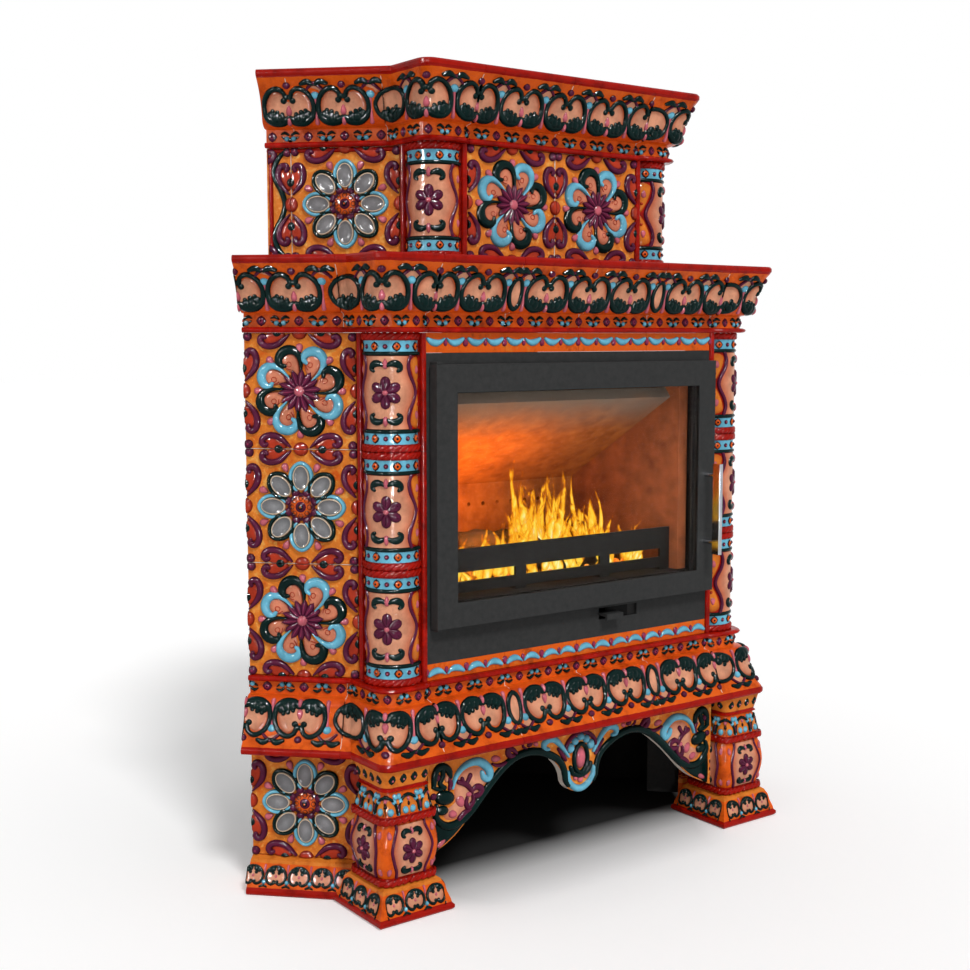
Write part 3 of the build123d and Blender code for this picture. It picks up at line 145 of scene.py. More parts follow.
GLAZES = (
    ("amber", "Amber", "Ground of the side and front tiles", (218, 122, 42)),
    ("orange", "Orange", "Ground of the cornices", (224, 92, 20)),
    ("red", "Red", "Mouldings, beads and rims", (160, 18, 5)),
    ("green", "Dark green", "Strokes and rolls", (2, 31, 29)),
    ("blue", "Light blue", "Petals and bands", (108, 182, 208)),
    ("purple", "Purple", "Hearts and leaves", (90, 26, 56)),
    ("pink", "Pink", "Drops and buttons", (204, 102, 116)),
    ("peach", "Peach", "Fields inside petals and panels", (216, 150, 118)),
    ("grey", "Grey", "Hollow petals", (140, 140, 142)),
)


class StoveGlazes(bpy.types.PropertyGroup):
    """Glaze colours of the tiles, one for each row of the table."""

    __annotations__ = {
        key: bpy.props.FloatVectorProperty(name=label, description=use, subtype="COLOR", default=rgb(*colour),
                                           min=0, max=1)
        for key, label, use, colour in GLAZES}


def glazes():
    """The glaze colours set in the panel."""
    return bpy.context.scene.stove_glazes


def sizes():
    """The sizes set in the panel."""
    return bpy.context.scene.stove_sizes


# ------------------------------------------------------------------ materials
class Recipe:
    """A node material under construction."""

    def __init__(self, name):
        self.material = bpy.data.materials.new(name)
        self.material.use_nodes = True
        self.tree = self.material.node_tree
        self.nodes = self.tree.nodes
        self.shader = self.nodes["Principled BSDF"]
        self.output = self.nodes["Material Output"]
        self.coords = self.add("ShaderNodeTexCoord").outputs["Object"]

    def add(self, kind, **inputs):
        """A new node with its inputs set or linked."""
        node = self.nodes.new(kind)
        for name, value in inputs.items():
            self.feed(node.inputs[name.replace("_", " ")], value)
        return node

    def feed(self, socket, value):
        """Link an output to a socket, or set the socket to a plain value."""
        if isinstance(value, bpy.types.NodeSocket):
            self.tree.links.new(value, socket)
        elif socket.type == "RGBA" and len(value) == 3:
            socket.default_value = (*value, 1.0)
        else:
            socket.default_value = value

    def set(self, **inputs):
        """Set or link the shader's own sockets."""
        for name, value in inputs.items():
            self.feed(self.shader.inputs[name.replace("_", " ")], value)

    def math(self, operation, a, b=0.0):
        """One arithmetic step."""
        node = self.nodes.new("ShaderNodeMath")
        node.operation = operation
        self.feed(node.inputs[0], a)
        self.feed(node.inputs[1], b)
        return node.outputs[0]

    def end(self, kind, *inputs):
        """End the material with a node that mixes or adds two shaders."""
        both = self.nodes.new(kind)
        for socket, value in zip(both.inputs, inputs):
            self.feed(socket, value)
        self.feed(self.output.inputs["Surface"], both.outputs[0])

    def along(self, axis):
        """Object coordinate along axis 0, 1 or 2, in metres."""
        return self.add("ShaderNodeSeparateXYZ", Vector=self.coords).outputs[axis]

    def noise(self, scale, detail, roughness=0.55, stretch=(1, 1, 1)):
        """Cloudy noise in the object's coordinates."""
        place = self.add("ShaderNodeMapping", Vector=self.coords, Scale=stretch)
        node = self.add("ShaderNodeTexNoise", Vector=place.outputs[0], Scale=scale, Detail=detail,
                        Roughness=roughness)
        return node.outputs[0]

    def ramp(self, value, stops, constant=False):
        """Colour band over (place, colour) stops."""
        node = self.nodes.new("ShaderNodeValToRGB")
        band = node.color_ramp
        band.interpolation = "CONSTANT" if constant else "LINEAR"
        while len(band.elements) < len(stops):
            band.elements.new(0.5)
        for element, (place, colour) in zip(band.elements, stops):
            element.position = place
            element.color = (*colour, 1.0) if len(colour) == 3 else colour
        self.feed(node.inputs[0], value)
        return node.outputs[0]

    def mix(self, share, a, b, blend="MIX"):
        """Colour a turning into b by its share."""
        node = self.nodes.new("ShaderNodeMix")
        node.data_type = "RGBA"
        node.blend_type = blend
        self.feed(node.inputs["Factor"], share)
        self.feed(node.inputs["A"], a)
        self.feed(node.inputs["B"], b)
        return node.outputs["Result"]

    def attribute(self, name):
        """A value stored on the mesh's points."""
        node = self.nodes.new("ShaderNodeAttribute")
        node.attribute_name = name
        return node.outputs["Fac"]

    def bump(self, height, strength, distance):
        """Fine unevenness of the surface."""
        node = self.add("ShaderNodeBump", Height=height, Strength=strength, Distance=distance)
        self.set(Normal=node.outputs[0])


def shade(colour, factor):
    """A colour made darker or lighter."""
    return tuple(min(1.0, part * factor) for part in colour)


def glaze(name, colour, pool_and_shade=None):
    """Glossy lead glaze: darker at the foot of each form and lighter on the crests; the dark foot is partly
    real pooling of the glaze and partly painted shade in the creases round the form.
    """
    recipe = Recipe(name)
    cloud = recipe.noise(34.0, 4.0)
    streak = recipe.noise(110.0, 3.0, stretch=(1, 1, 0.35))
    body = recipe.ramp(cloud, [(0.30, shade(colour, 0.76)), (0.5, colour), (0.70, shade(colour, 1.25))])
    body = recipe.mix(recipe.ramp(streak, [(0.5, BLACK), (0.75, even(0.3))]), body, shade(colour, 0.6))
    # painted shade: where the crest value is low, at the foot and edges of a form, the colour turns to the
    # pool colour, partly real pooling and partly shade painted into the creases
    deep = recipe.ramp(recipe.attribute("crest"), [(0.0, WHITE), (0.5, even(0.5)), (0.92, BLACK)])
    body = recipe.mix(deep, body, pool_and_shade or shade(colour, 0.38))
    recipe.set(Base_Color=body, Roughness=recipe.ramp(cloud, [(0.3, even(GLEAM)), (0.8, even(GLEAM * 2.2))]),
               Specular_IOR_Level=GLAZE_SHINE)
    recipe.bump(recipe.noise(95.0, 3.0), 0.6, 0.0014)
    return recipe.material


def mottled_glaze(name, tones, bare_behind=None):
    """Ground glaze whose colour breaks from a deep tone to a golden one in soft clouds and specks.

    Behind the plane y = bare_behind the tile is left as pale unglazed clay.
    """
    recipe = Recipe(name)
    cloud = recipe.noise(30.0, 5.0, 0.62)
    body = recipe.ramp(cloud, [(0.30, tones[0]), (0.44, tones[1]), (0.56, tones[2]), (0.70, tones[3])])
    speck = recipe.noise(120.0, 3.0)
    body = recipe.mix(recipe.ramp(speck, [(0.58, BLACK), (0.70, even(0.55))]), body, tones[3])
    if bare_behind is not None:
        bare = recipe.math("GREATER_THAN", recipe.along(1), bare_behind)
        body = recipe.mix(bare, body, rgb(226, 216, 204))
    recipe.set(Base_Color=body, Roughness=recipe.ramp(cloud, [(0.3, even(GLEAM)), (0.8, even(0.2))]),
               Specular_IOR_Level=GLAZE_SHINE)
    recipe.bump(recipe.noise(90.0, 3.0), 0.55, 0.0014)
    return recipe.material


def banded_glaze(name, start, period, stops):
    """Glaze whose ground colour changes with height: (height in mm, colour) from the bottom up."""
    recipe = Recipe(name)
    wobble = recipe.math("MULTIPLY", recipe.noise(60.0, 2.0), 0.002)
    level = recipe.math("SUBTRACT", recipe.along(2), start * MM + 0.001)
    level = recipe.math("ADD", level, wobble)
    share = recipe.math("DIVIDE", level, period * MM)
    ground = recipe.ramp(share, [(at / period, colour) for at, colour in stops], constant=True)
    cloud = recipe.noise(32.0, 5.0, 0.6)
    deep = recipe.mix(1.0, ground, (0.62, 0.5, 0.45), "MULTIPLY")
    thin = recipe.mix(1.0, ground, (1.12, 1.35, 1.5), "MULTIPLY")
    body = recipe.mix(recipe.ramp(cloud, [(0.32, BLACK), (0.5, WHITE)]), deep, ground)
    body = recipe.mix(recipe.ramp(cloud, [(0.55, BLACK), (0.75, WHITE)]), body, thin)
    recipe.set(Base_Color=body, Roughness=recipe.ramp(cloud, [(0.3, even(0.16)), (0.8, even(0.28))]),
               Specular_IOR_Level=GLAZE_SHINE)
    recipe.bump(recipe.noise(70.0, 3.0), 0.5, 0.0018)
    return recipe.material


def matt(name, dark, light, scale, rough=(0.7, 0.95), grain=0.3, distance=0.001, metallic=0.0,
         shine=0.3):
    """A dull mineral or painted surface with mottling and grain."""
    recipe = Recipe(name)
    cloud = recipe.noise(scale, 6.0, 0.65)
    recipe.set(Base_Color=recipe.ramp(cloud, [(0.3, dark), (0.7, light)]),
               Roughness=recipe.ramp(cloud, [(0.3, even(rough[0])), (0.7, even(rough[1]))]),
               Metallic=metallic, Specular_IOR_Level=shine)
    recipe.bump(recipe.noise(scale * 9.0, 3.0), grain, distance)
    return recipe.material


PALETTE = {}


def palette():
    """All glazes of the relief, made once."""
    if not PALETTE:
        made = glazes()
        for name in ("orange", "red", "green", "blue", "purple", "pink", "grey"):
            PALETTE[name] = glaze("glaze_" + name, tuple(getattr(made, name)))
        # second colours: pool colours for the foot of each form, partly real pooling and partly painted shade
        PALETTE["amber"] = glaze("glaze_amber", tuple(made.amber), rgb(176, 66, 16))
        PALETTE["peach"] = glaze("glaze_peach", tuple(made.peach), rgb(186, 74, 38))
        PALETTE["umber"] = glaze("glaze_umber", rgb(176, 54, 30), rgb(96, 18, 12))
        PALETTE["ember"] = glaze("glaze_ember", rgb(226, 92, 22), rgb(70, 10, 6))
        PALETTE["rose"] = glaze("glaze_rose", rgb(210, 128, 98), rgb(160, 58, 34))
        PALETTE["plum"] = glaze("glaze_plum", rgb(30, 8, 20))
        PALETTE["sand"] = glaze("glaze_sand", rgb(214, 190, 164), rgb(170, 120, 84))
        PALETTE["magenta"] = glaze("glaze_magenta", rgb(150, 48, 84))
        PALETTE["slip"] = matt("joint_slip", rgb(196, 180, 160), rgb(236, 228, 214), 200.0)
    return PALETTE


# ------------------------------------------------------------------ relief in flat coordinates
class Relief:
    """Forms in flat coordinates: u to the right, v up, h proud of the glaze, all in mm."""

    def __init__(self):
        self.points = []
        self.crests = []
        self.faces = []
        self.tints = []
        self.total = 0

    def add(self, points, crest, faces, tint):
        """Take up one form: its points, their crest values, its faces and its glaze."""
        self.points.append(np.asarray(points, float))
        self.crests.append(np.asarray(crest, float))
        self.faces.append(np.asarray(faces, int) + self.total)
        self.tints.append((tint, len(faces)))
        self.total += len(points)

    def sheet(self, rows, crest, tint, closed=False):
        """A grid of points whose rows follow each other to the left of their own direction."""
        count, width = rows.shape[:2]
        wrap = width if closed else width - 1
        i, k = np.meshgrid(np.arange(count - 1), np.arange(wrap), indexing="ij")
        after = (k + 1) % width
        faces = np.stack([i * width + k, i * width + after, (i + 1) * width + after, (i + 1) * width + k], -1)
        self.add(rows.reshape(-1, 3), crest.reshape(-1), faces.reshape(-1, 4), tint)

    def stroke(self, path, widths, tint, height, base=0.0, closed=False, fine=3, across=6):
        """A tapering half-round stroke along a smooth path."""
        path = smooth(np.array(path, float), fine, closed)
        widths = smooth(np.array([[w, 0.0] for w in widths], float), fine, closed)[:, 0]
        half = np.maximum(widths, 0.5) / 2
        if closed:
            step = np.roll(path, -1, 0) - np.roll(path, 1, 0)
        else:
            step = np.gradient(path, axis=0)
        step /= np.linalg.norm(step, axis=1)[:, None]
        lift = np.ones(len(path))
        if not closed:
            ends = np.radians([8, 40, 68])
            head = [path[0] - step[0] * half[0] * math.cos(a) for a in ends]
            tail = [path[-1] + step[-1] * half[-1] * math.cos(a) for a in ends[::-1]]
            path = np.vstack([head, path, tail])
            step = np.vstack([[step[0]] * 3, step, [step[-1]] * 3])
            half = np.concatenate([half[0] * np.sin(ends), half, half[-1] * np.sin(ends[::-1])])
            lift = np.concatenate([np.sin(ends), lift, np.sin(ends[::-1])])
        top = height * lift
        angle = np.linspace(math.pi, 0.0, across + 1)
        arch = np.sin(angle)[None, :]
        left = np.stack([-step[:, 1], step[:, 0]], 1)
        aside = -np.cos(angle) * half[:, None]
        rows = np.zeros((len(path), across + 1, 3))
        rows[:, :, :2] = path[:, None, :] - left[:, None, :] * aside[:, :, None]
        rows[:, :, 2] = base - SINK + (top[:, None] + SINK) * arch
        # crest: low at the stroke's edges, where the glaze paints partly real pooling and partly shade
        crest = arch * lift[:, None]
        if closed:
            rows, crest = (np.concatenate([grid, grid[:1]]) for grid in (rows, crest))
        self.sheet(rows, crest, tint)

    def cap(self, middle, line, share, level, crest, tint):
        """Close an outline towards its middle in steps, each with its share, level and crest."""
        rows = np.zeros((len(share), len(line), 3))
        rows[:, :, :2] = np.array(middle) + line[None] * share[:, None, None]
        rows[:, :, 2] = level[:, None]
        self.sheet(rows, crest[:, None] * np.ones((1, len(line))), tint, closed=True)

    def dome(self, at, size, tint, height, turn=0.0, taper=0.0, base=0.0, rings=4, around=16):
        """A domed button, egg or drop; taper pulls it to a point towards its turn."""
        angle = np.linspace(0, math.pi / 2, rings + 1)
        level = base - SINK + (height + SINK) * np.sin(angle)
        self.cap(at, oval(size, turn, taper, around), np.cos(angle), level, np.sin(angle), tint)

    def dish(self, at, size, tint, rim_tint, height, turn, base, rim):
        """A hollow petal: a round rim and a concave floor."""
        line = oval(size, turn, 0.0, 20)
        self.stroke(line + np.array(at), [rim * 2] * len(line), rim_tint, height, base, closed=True, fine=1,
                    across=4)
        share = np.array([1.0, 0.85, 0.6, 0.3, 0.0])
        # crest is low under the rim of the dish, where the glaze paints partly real pooling and partly shade
        self.cap(at, line, share, base + 0.6 + (height - 1.0) * share ** 3, 0.25 + 0.75 * (1 - share), tint)

    def field(self, outline, tint, height, base=0.0, fine=3):
        """A raised field with rounded edges, seen from the middle of its outline."""
        line = smooth(np.array(outline, float), fine, True)
        area = np.sum(line[:, 0] * np.roll(line[:, 1], -1) - np.roll(line[:, 0], -1) * line[:, 1])
        if area < 0:
            line = line[::-1]
        middle = line.mean(0)
        angle = np.linspace(0, math.pi / 2, 5)
        level = base - SINK + (height + SINK) * np.sin(angle)
        self.cap(middle, line - middle, np.cos(angle) ** 0.7, level, np.sin(angle), tint)

    def panel(self, heights, halves, tint, height, across):
        """A field between two edges, right and left of an upright middle line."""
        share = np.concatenate([[-1.0], np.linspace(-0.94, 0.94, across), [1.0]])
        rows = np.zeros((len(heights), len(share), 3))
        rows[:, :, 0] = np.array(halves)[:, None] * share
        rows[:, :, 1] = np.array(heights)[:, None]
        inner = (np.abs(share) < 0.99).astype(float)
        rows[:, :, 2] = height * inner - SINK * (1 - inner)
        # crest falls towards both edges, widening the pool colour there: partly real pooling and partly
        # painted shade
        crest = np.clip(1.1 - np.abs(share[None, :]) ** 2.2, 0.05, 1.0) * np.ones((len(heights), 1))
        self.sheet(rows, crest, tint)

    def merge(self, other, right=0.0, up=0.0, turn=0.0):
        """Copy another relief, turned in degrees and then shifted in its plane."""
        c, s = cos_sin(turn)
        for points, crest, faces, tint in other.parts():
            x, y = points[:, 0], points[:, 1]
            moved = np.stack([x * c - y * s + right, x * s + y * c + up, points[:, 2]], 1)
            self.add(moved, crest, faces, tint)
        return self

    def parts(self):
        """Each form, with its faces counted from its own first point."""
        first = 0
        for points, crest, faces, (tint, _) in zip(self.points, self.crests, self.faces, self.tints):
            yield points, crest, faces - first, tint
            first += len(points)

    def clip(self, low, high):
        """Cut the forms off at the edges of their tile and leave out those beyond them."""
        kept = Relief()
        for points, crest, faces, tint in self.parts():
            inside = np.all((points[:, :2] > low) & (points[:, :2] < high), 1)
            if inside.any():
                moved = points.copy()
                moved[:, :2] = np.clip(points[:, :2], low, high)
                kept.add(moved, crest, faces, tint)
        return kept

    def lift(self, amount):
        """Raise what stands proud, over a field that the tile itself carries."""
        for points in self.points:
            points[points[:, 2] > 0, 2] += amount
        return self

    def apart(self):
        """Every loose form of the relief as a relief of its own."""
        for points, crest, faces, tint in self.parts():
            owner = np.arange(len(points))
            while True:
                least = owner[faces].min(1)
                before = owner.copy()
                for k in range(faces.shape[1]):
                    np.minimum.at(owner, faces[:, k], least)
                owner = owner[owner]
                if (owner == before).all():
                    break
            for group in np.unique(owner):
                mask = owner == group
                index = np.cumsum(mask) - 1
                single = Relief()
                single.add(points[mask], crest[mask], index[faces[mask[faces[:, 0]]]], tint)
                yield single

    def take_mesh(self, mesh, tint):
        """Adopt a plain mesh that lies in flat coordinates, in metres."""
        points = np.zeros(len(mesh.vertices) * 3, np.float32)
        mesh.vertices.foreach_get("co", points)
        crest = np.ones(len(mesh.vertices), np.float32)
        if "crest" in mesh.attributes:
            mesh.attributes["crest"].data.foreach_get("value", crest)
        faces = np.array([list(face.vertices) for face in mesh.polygons], int)
        self.add(points.reshape(-1, 3) / MM, crest, faces, tint)


def oval(size, turn, taper, around):
    """Outline of an oval; taper pulls it to a point towards its turn."""
    t = np.linspace(0, 2 * math.pi, around, endpoint=False)
    c, s = cos_sin(turn)
    x, y = size[0] * np.cos(t), size[1] * np.sin(t) * (1 - taper * np.cos(t))
    return np.stack([x * c - y * s, x * s + y * c], 1)


def smooth(points, fine, closed=False):
    """Points on a Catmull-Rom curve through the given ones."""
    if fine <= 1 or len(points) < 3:
        return points
    count = len(points)
    spans = count if closed else count - 1
    result = []
    for i in range(spans):
        if closed:
            a, b, c, d = (points[(i + j) % count] for j in (-1, 0, 1, 2))
        else:
            b, c = points[i], points[i + 1]
            a = points[i - 1] if i > 0 else 2 * b - c
            d = points[i + 2] if i + 2 < count else 2 * c - b
        for step in range(fine):
            t = step / fine
            result.append(0.5 * (2 * b + (c - a) * t + (2 * a - 5 * b + 4 * c - d) * t * t
                                 + (3 * b - a - 3 * c + d) * t ** 3))
    if not closed:
        result.append(points[-1])
    return np.array(result)


# ------------------------------------------------------------------ surfaces that carry the relief
class Flat:
    """A tile face: an origin, the direction to the right along it, and its outward normal."""

    mirrored = False

    def __init__(self, x, y, z, along):
        self.origin = np.array([x, y, z], float)
        self.along = np.array([along[0], along[1], 0.0])
        self.out = np.array([along[1], -along[0], 0.0])

    def place(self, points):
        """Points of the relief as points in space."""
        up = np.array([0.0, 0.0, 1.0])
        return self.origin + points[:, :1] * self.along + points[:, 1:2] * up + points[:, 2:] * self.out


class Round:
    """The shaft of a column tile; u runs round it."""

    mirrored = False

    def __init__(self, x, y, z, along, radius):
        self.flat = Flat(x, y, z, along)
        self.radius = radius

    def place(self, points):
        """Points of the relief as points in space."""
        angle = points[:, 0] / self.radius
        reach = self.radius + points[:, 2]
        return self.flat.place(np.stack([reach * np.sin(angle), points[:, 1], reach * np.cos(angle)], 1))


def cornice_line():
    """Profile of a cornice tile as (reach, height) points, from the band to the rim."""
    def arc(a, b, c, count):
        """Points on the circle through three points, from the first to the last."""
        (ax, ay), (bx, by), (cx, cy) = a, b, c
        ra, rb, rc = ax * ax + ay * ay, bx * bx + by * by, cx * cx + cy * cy
        d = 2 * (ax * (by - cy) + bx * (cy - ay) + cx * (ay - by))
        ux = (ra * (by - cy) + rb * (cy - ay) + rc * (ay - by)) / d
        uy = (ra * (cx - bx) + rb * (ax - cx) + rc * (bx - ax)) / d
        r = math.hypot(ax - ux, ay - uy)
        start, _, end = np.unwrap([math.atan2(y - uy, x - ux) for x, y in (a, b, c)])
        return [(ux + r * math.cos(t), uy + r * math.sin(t)) for t in np.linspace(start, end, count)]

    line = [(0.0, 0.0), (0.0, 26.0), (4.0, 26.0)]
    line += arc((4, 26), (26 * 0.72, 26 + 20 * 0.26), (26, 46), 6)[1:]
    line += arc((26, 46), (26 + 34 * 0.29, 46 + 71 * 0.49), (60, 117), 12)[1:]
    line += arc((60, 118), (64, 125), (60, 132), 6)
    return np.array(line)


class Profile:
    """A run of profiled tile: v follows the profile upwards, u the run or the block's outline."""

    def __init__(self, line, outline, z, height, flipped=False, mirrored=False):
        self.line = line
        self.outline = outline
        self.z = z
        self.height = height
        self.flipped = flipped
        self.reflect = mirrored
        self.mirrored = flipped
        step = np.linalg.norm(np.diff(line, axis=0), axis=1)
        self.travel = np.concatenate([[0.0], np.cumsum(step)])

    def place(self, points):
        """Points of the relief as points in space."""
        travel = np.clip(points[:, 1], 0.0, self.travel[-1])
        ahead = np.minimum(travel + 2.5, self.travel[-1])
        behind = np.maximum(travel - 2.5, 0.0)

        def on(distance, axis):
            """Reach (0) or level (1) at a distance along the profile."""
            return np.interp(distance, self.travel, self.line[:, axis])

        reach = on(travel, 0)
        go, rise = (on(ahead, axis) - on(behind, axis) for axis in (0, 1))
        size = np.hypot(rise, go) + 1e-9
        out = reach + points[:, 2] * rise / size
        z = on(travel, 1) - points[:, 2] * go / size
        if self.flipped:
            z = self.height - z
        along = -points[:, 0] if self.reflect else points[:, 0]
        place = self.outline(along, reach, out - reach)
        if self.reflect:
            place[:, 0] = -place[:, 0]
        return np.stack([place[:, 0], place[:, 1], self.z + z], 1)


def straight(x, y, along, widest=1000.0):
    """Outline of a straight run: reach counts from the face, and nothing stands out past widest."""
    direction = np.array(along, float)
    out = np.array([along[1], -along[0]], float)

    def walk(u, reach, extra):
        """Points at the distance u along the run."""
        return np.array([x, y]) + u[:, None] * direction + np.minimum(reach + extra, widest)[:, None] * out
    return walk


def along_face(flat):
    """Outline of a straight run along a tile face."""
    return straight(flat.origin[0], flat.origin[1], flat.along[:2])


def walk_line(line, middle, u, extra):
    """Points at the distance u from the middle along a plan line, moved out by extra."""
    step = np.diff(line, axis=0)
    length = np.linalg.norm(step, axis=1)
    travel = np.concatenate([[0.0], np.cumsum(length)])
    at = u + middle
    under = np.where(at < 0, at, 0)
    over = np.where(at > travel[-1], at - travel[-1], 0)

    def on(distance, axis):
        """Coordinate of the line at a distance along it."""
        return np.interp(distance, travel, line[:, axis])

    x, y = (on(at, axis) + under * step[0, axis] / length[0] + over * step[-1, axis] / length[-1]
            for axis in (0, 1))
    dx, dy = (on(at + 3, axis) - on(at - 3, axis) for axis in (0, 1))
    size = np.hypot(dx, dy) + 1e-9
    return np.stack([x + extra * dy / size, y - extra * dx / size], 1)


def plan_travel(line):
    """Distance along a plan line at each of its points."""
    return np.concatenate([[0.0], np.cumsum(np.linalg.norm(np.diff(line, axis=0), axis=1))])


def by_reach(place):
    """Outline from place(reach, u, extra), called once for every whole mm of reach."""
    def walk(u, reach, extra):
        """Points at the distance u along the outline."""
        result = np.zeros((len(u), 2))
        key = np.round(reach, 0)
        for value in np.unique(key):
            mask = key == value
            result[mask] = place(value, u[mask], extra[mask] + reach[mask] - value)
        return result
    return walk


def block(half, front, start):
    """Outline of the left corner block at any reach of the profile; u = 0 on its corner.

    Both flanks are stretched so that the joints lie at -BLOCK_LEFT and BLOCK_RIGHT at every reach.
    """
    def place(reach, u, extra):
        """Points of the outline at one reach."""
        share = reach / 60.0
        flank = -half - BEVEL - 13 - 32 * share
        face = front - 12 - 48 * share
        radius = 40 - 15 * share
        bend = (flank, start[0] + start[1] - ROOT2 * reach - flank)
        joint = (start[0] - (24 + reach) / ROOT2, start[1] + (24 - reach) / ROOT2)
        front_out = (-half + 6, front - reach)
        crease = (front_out[0] - 16, face)
        arc = [(flank + radius * (1 - math.cos(t)), face + radius * (1 - math.sin(t)))
               for t in np.linspace(0, math.pi / 2, 9)]
        line = np.array([joint, bend] + arc + [crease, front_out])
        travel = plan_travel(line)
        middle = (travel[2] + travel[10]) / 2
        stretch = np.where(u < 0, middle / BLOCK_LEFT, (travel[-1] - middle) / BLOCK_RIGHT)
        return walk_line(line, middle, u * stretch, extra)
    return by_reach(place)


def square(x, y, corner, face=0):
    """Outline of a pedestal: reach is its half width, u = 0 in the middle of one of its faces."""
    def place(reach, u, extra):
        """Points of the outline at one reach, round the pedestal's own middle."""
        line = [(0.0, -reach)]
        inner = reach - corner
        for quarter in range(4):
            c, s = cos_sin(90 * quarter)
            for t in np.linspace(-math.pi / 2, 0, 6):
                px, py = inner + corner * math.cos(t), -inner + corner * math.sin(t)
                line.append((px * c - py * s, px * s + py * c))
        line = np.array(line + [(0.0, -reach)])
        return walk_line(line, 0.0, np.mod(u, plan_travel(line)[-1]), extra)

    def walk(u, reach, extra):
        """The outline turned to its face and moved to its place."""
        c, s = cos_sin(90 * face)
        px, py = by_reach(place)(u, reach, extra).T
        return np.stack([x + px * c - py * s, y + px * s + py * c], 1)
    return walk


# ------------------------------------------------------------------ meshes and objects
def make_mesh(name, points, faces, **layers):
    """A mesh from points in metres, with one value for each point in every layer."""
    mesh = bpy.data.meshes.new(name)
    mesh.from_pydata(points, [], faces)
    for label, values in layers.items():
        layer = mesh.attributes.new(label, "FLOAT", "POINT")
        layer.data.foreach_set("value", np.array(values, np.float32))
    return mesh


def put(name, data):
    """A new object in the scene."""
    item = bpy.data.objects.new(name, data)
    bpy.context.scene.collection.objects.link(item)
    return item


def build(name, parts):
    """One mesh piece from (relief, surface) pairs."""
    points, crests, faces, marks, order = [], [], [], [], []
    total = 0
    for relief, surface in parts:
        if not relief.points:
            continue
        flat = np.vstack(relief.points) * (1.0, 1.0, sizes().relief)
        points.append(surface.place(flat))
        crests.append(np.concatenate(relief.crests))
        own = np.vstack(relief.faces)
        faces.append((own[:, ::-1] if surface.mirrored else own) + total)
        for tint, count in relief.tints:
            if tint not in order:
                order.append(tint)
            marks.append(np.full(count, order.index(tint)))
        total += len(flat)
    points = np.vstack(points)
    points[:, 1] += FRONT_Y
    # crest steers the glaze's pool colour: partly real pooling, partly painted shade at the foot of each form
    mesh = make_mesh(name, points * MM, np.vstack(faces).tolist(),
                     crest=np.clip(np.concatenate(crests), 0, 1))
    mesh.polygons.foreach_set("material_index", np.concatenate(marks).astype(np.int32))
    return finish_mesh(name, mesh, [palette()[tint] for tint in order], "stove")


def finish_mesh(name, mesh, materials, body):
    """Weld a mesh, give it its materials and let it ride on a body."""
    welded = bmesh.new()
    welded.from_mesh(mesh)
    bmesh.ops.remove_doubles(welded, verts=welded.verts, dist=4e-6)
    bmesh.ops.dissolve_degenerate(welded, edges=welded.edges, dist=1e-7)
    welded.to_mesh(mesh)
    welded.free()
    for material in materials:
        mesh.materials.append(material)
    mesh.polygons.foreach_set("use_smooth", np.ones(len(mesh.polygons), bool))
    mesh.update()
    piece = put(name, mesh)
    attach(piece, body)
    return piece


# ------------------------------------------------------------------ rows of repeated forms
def row_tree():
    """Geometry nodes that repeat one form along a straight run."""
    name = "Row of forms"
    if name in bpy.data.node_groups:
        return bpy.data.node_groups[name]
    tree = bpy.data.node_groups.new(name, "GeometryNodeTree")
    face = tree.interface
    face.new_socket(name="Geometry", in_out="OUTPUT", socket_type="NodeSocketGeometry")
    for label, kind, value in (("Form", "NodeSocketObject", None), ("Count", "NodeSocketInt", 4),
                               ("Pitch", "NodeSocketFloat", 0.05), ("Start", "NodeSocketFloat", 0.0),
                               ("Turn", "NodeSocketFloat", 0.0), ("Uneven", "NodeSocketFloat", 0.03),
                               ("Seed", "NodeSocketInt", 7), ("Glaze", "NodeSocketMaterial", None)):
        socket = face.new_socket(name=label, in_out="INPUT", socket_type=kind)
        if value is not None:
            socket.default_value = value
    nodes, link = tree.nodes, tree.links.new

    def node(kind, inputs, **settings):
        """Outputs of a new node whose inputs are set to a number or linked to another output."""
        made = nodes.new(kind)
        for key, value in settings.items():
            setattr(made, key, value)
        for key, value in inputs.items():
            if isinstance(value, float):
                made.inputs[key].default_value = value
            else:
                link(value, made.inputs[key])
        return made.outputs

    given = nodes.new("NodeGroupInput").outputs
    step = node("ShaderNodeCombineXYZ", {0: given["Pitch"]})
    begin = node("ShaderNodeCombineXYZ", {0: given["Start"]})
    line = node("GeometryNodeMeshLine", {"Count": given["Count"], "Start Location": begin[0],
                                         "Offset": step[0]})
    form = node("GeometryNodeObjectInfo", {"Object": given["Form"]})
    turn = node("ShaderNodeCombineXYZ", {2: given["Turn"]})
    least = node("ShaderNodeMath", {0: 1.0, 1: given["Uneven"]}, operation="SUBTRACT")
    size = node("FunctionNodeRandomValue", {2: least[0], 3: 1.0, "Seed": given["Seed"]})
    copies = node("GeometryNodeInstanceOnPoints", {"Points": line[0], "Instance": form["Geometry"],
                                                   "Rotation": turn[0], "Scale": size[1]})
    real = node("GeometryNodeRealizeInstances", {0: copies[0]})
    finish = node("GeometryNodeSetMaterial", {0: real[0], "Material": given["Glaze"]})
    node("NodeGroupOutput", {0: finish[0]})
    return tree


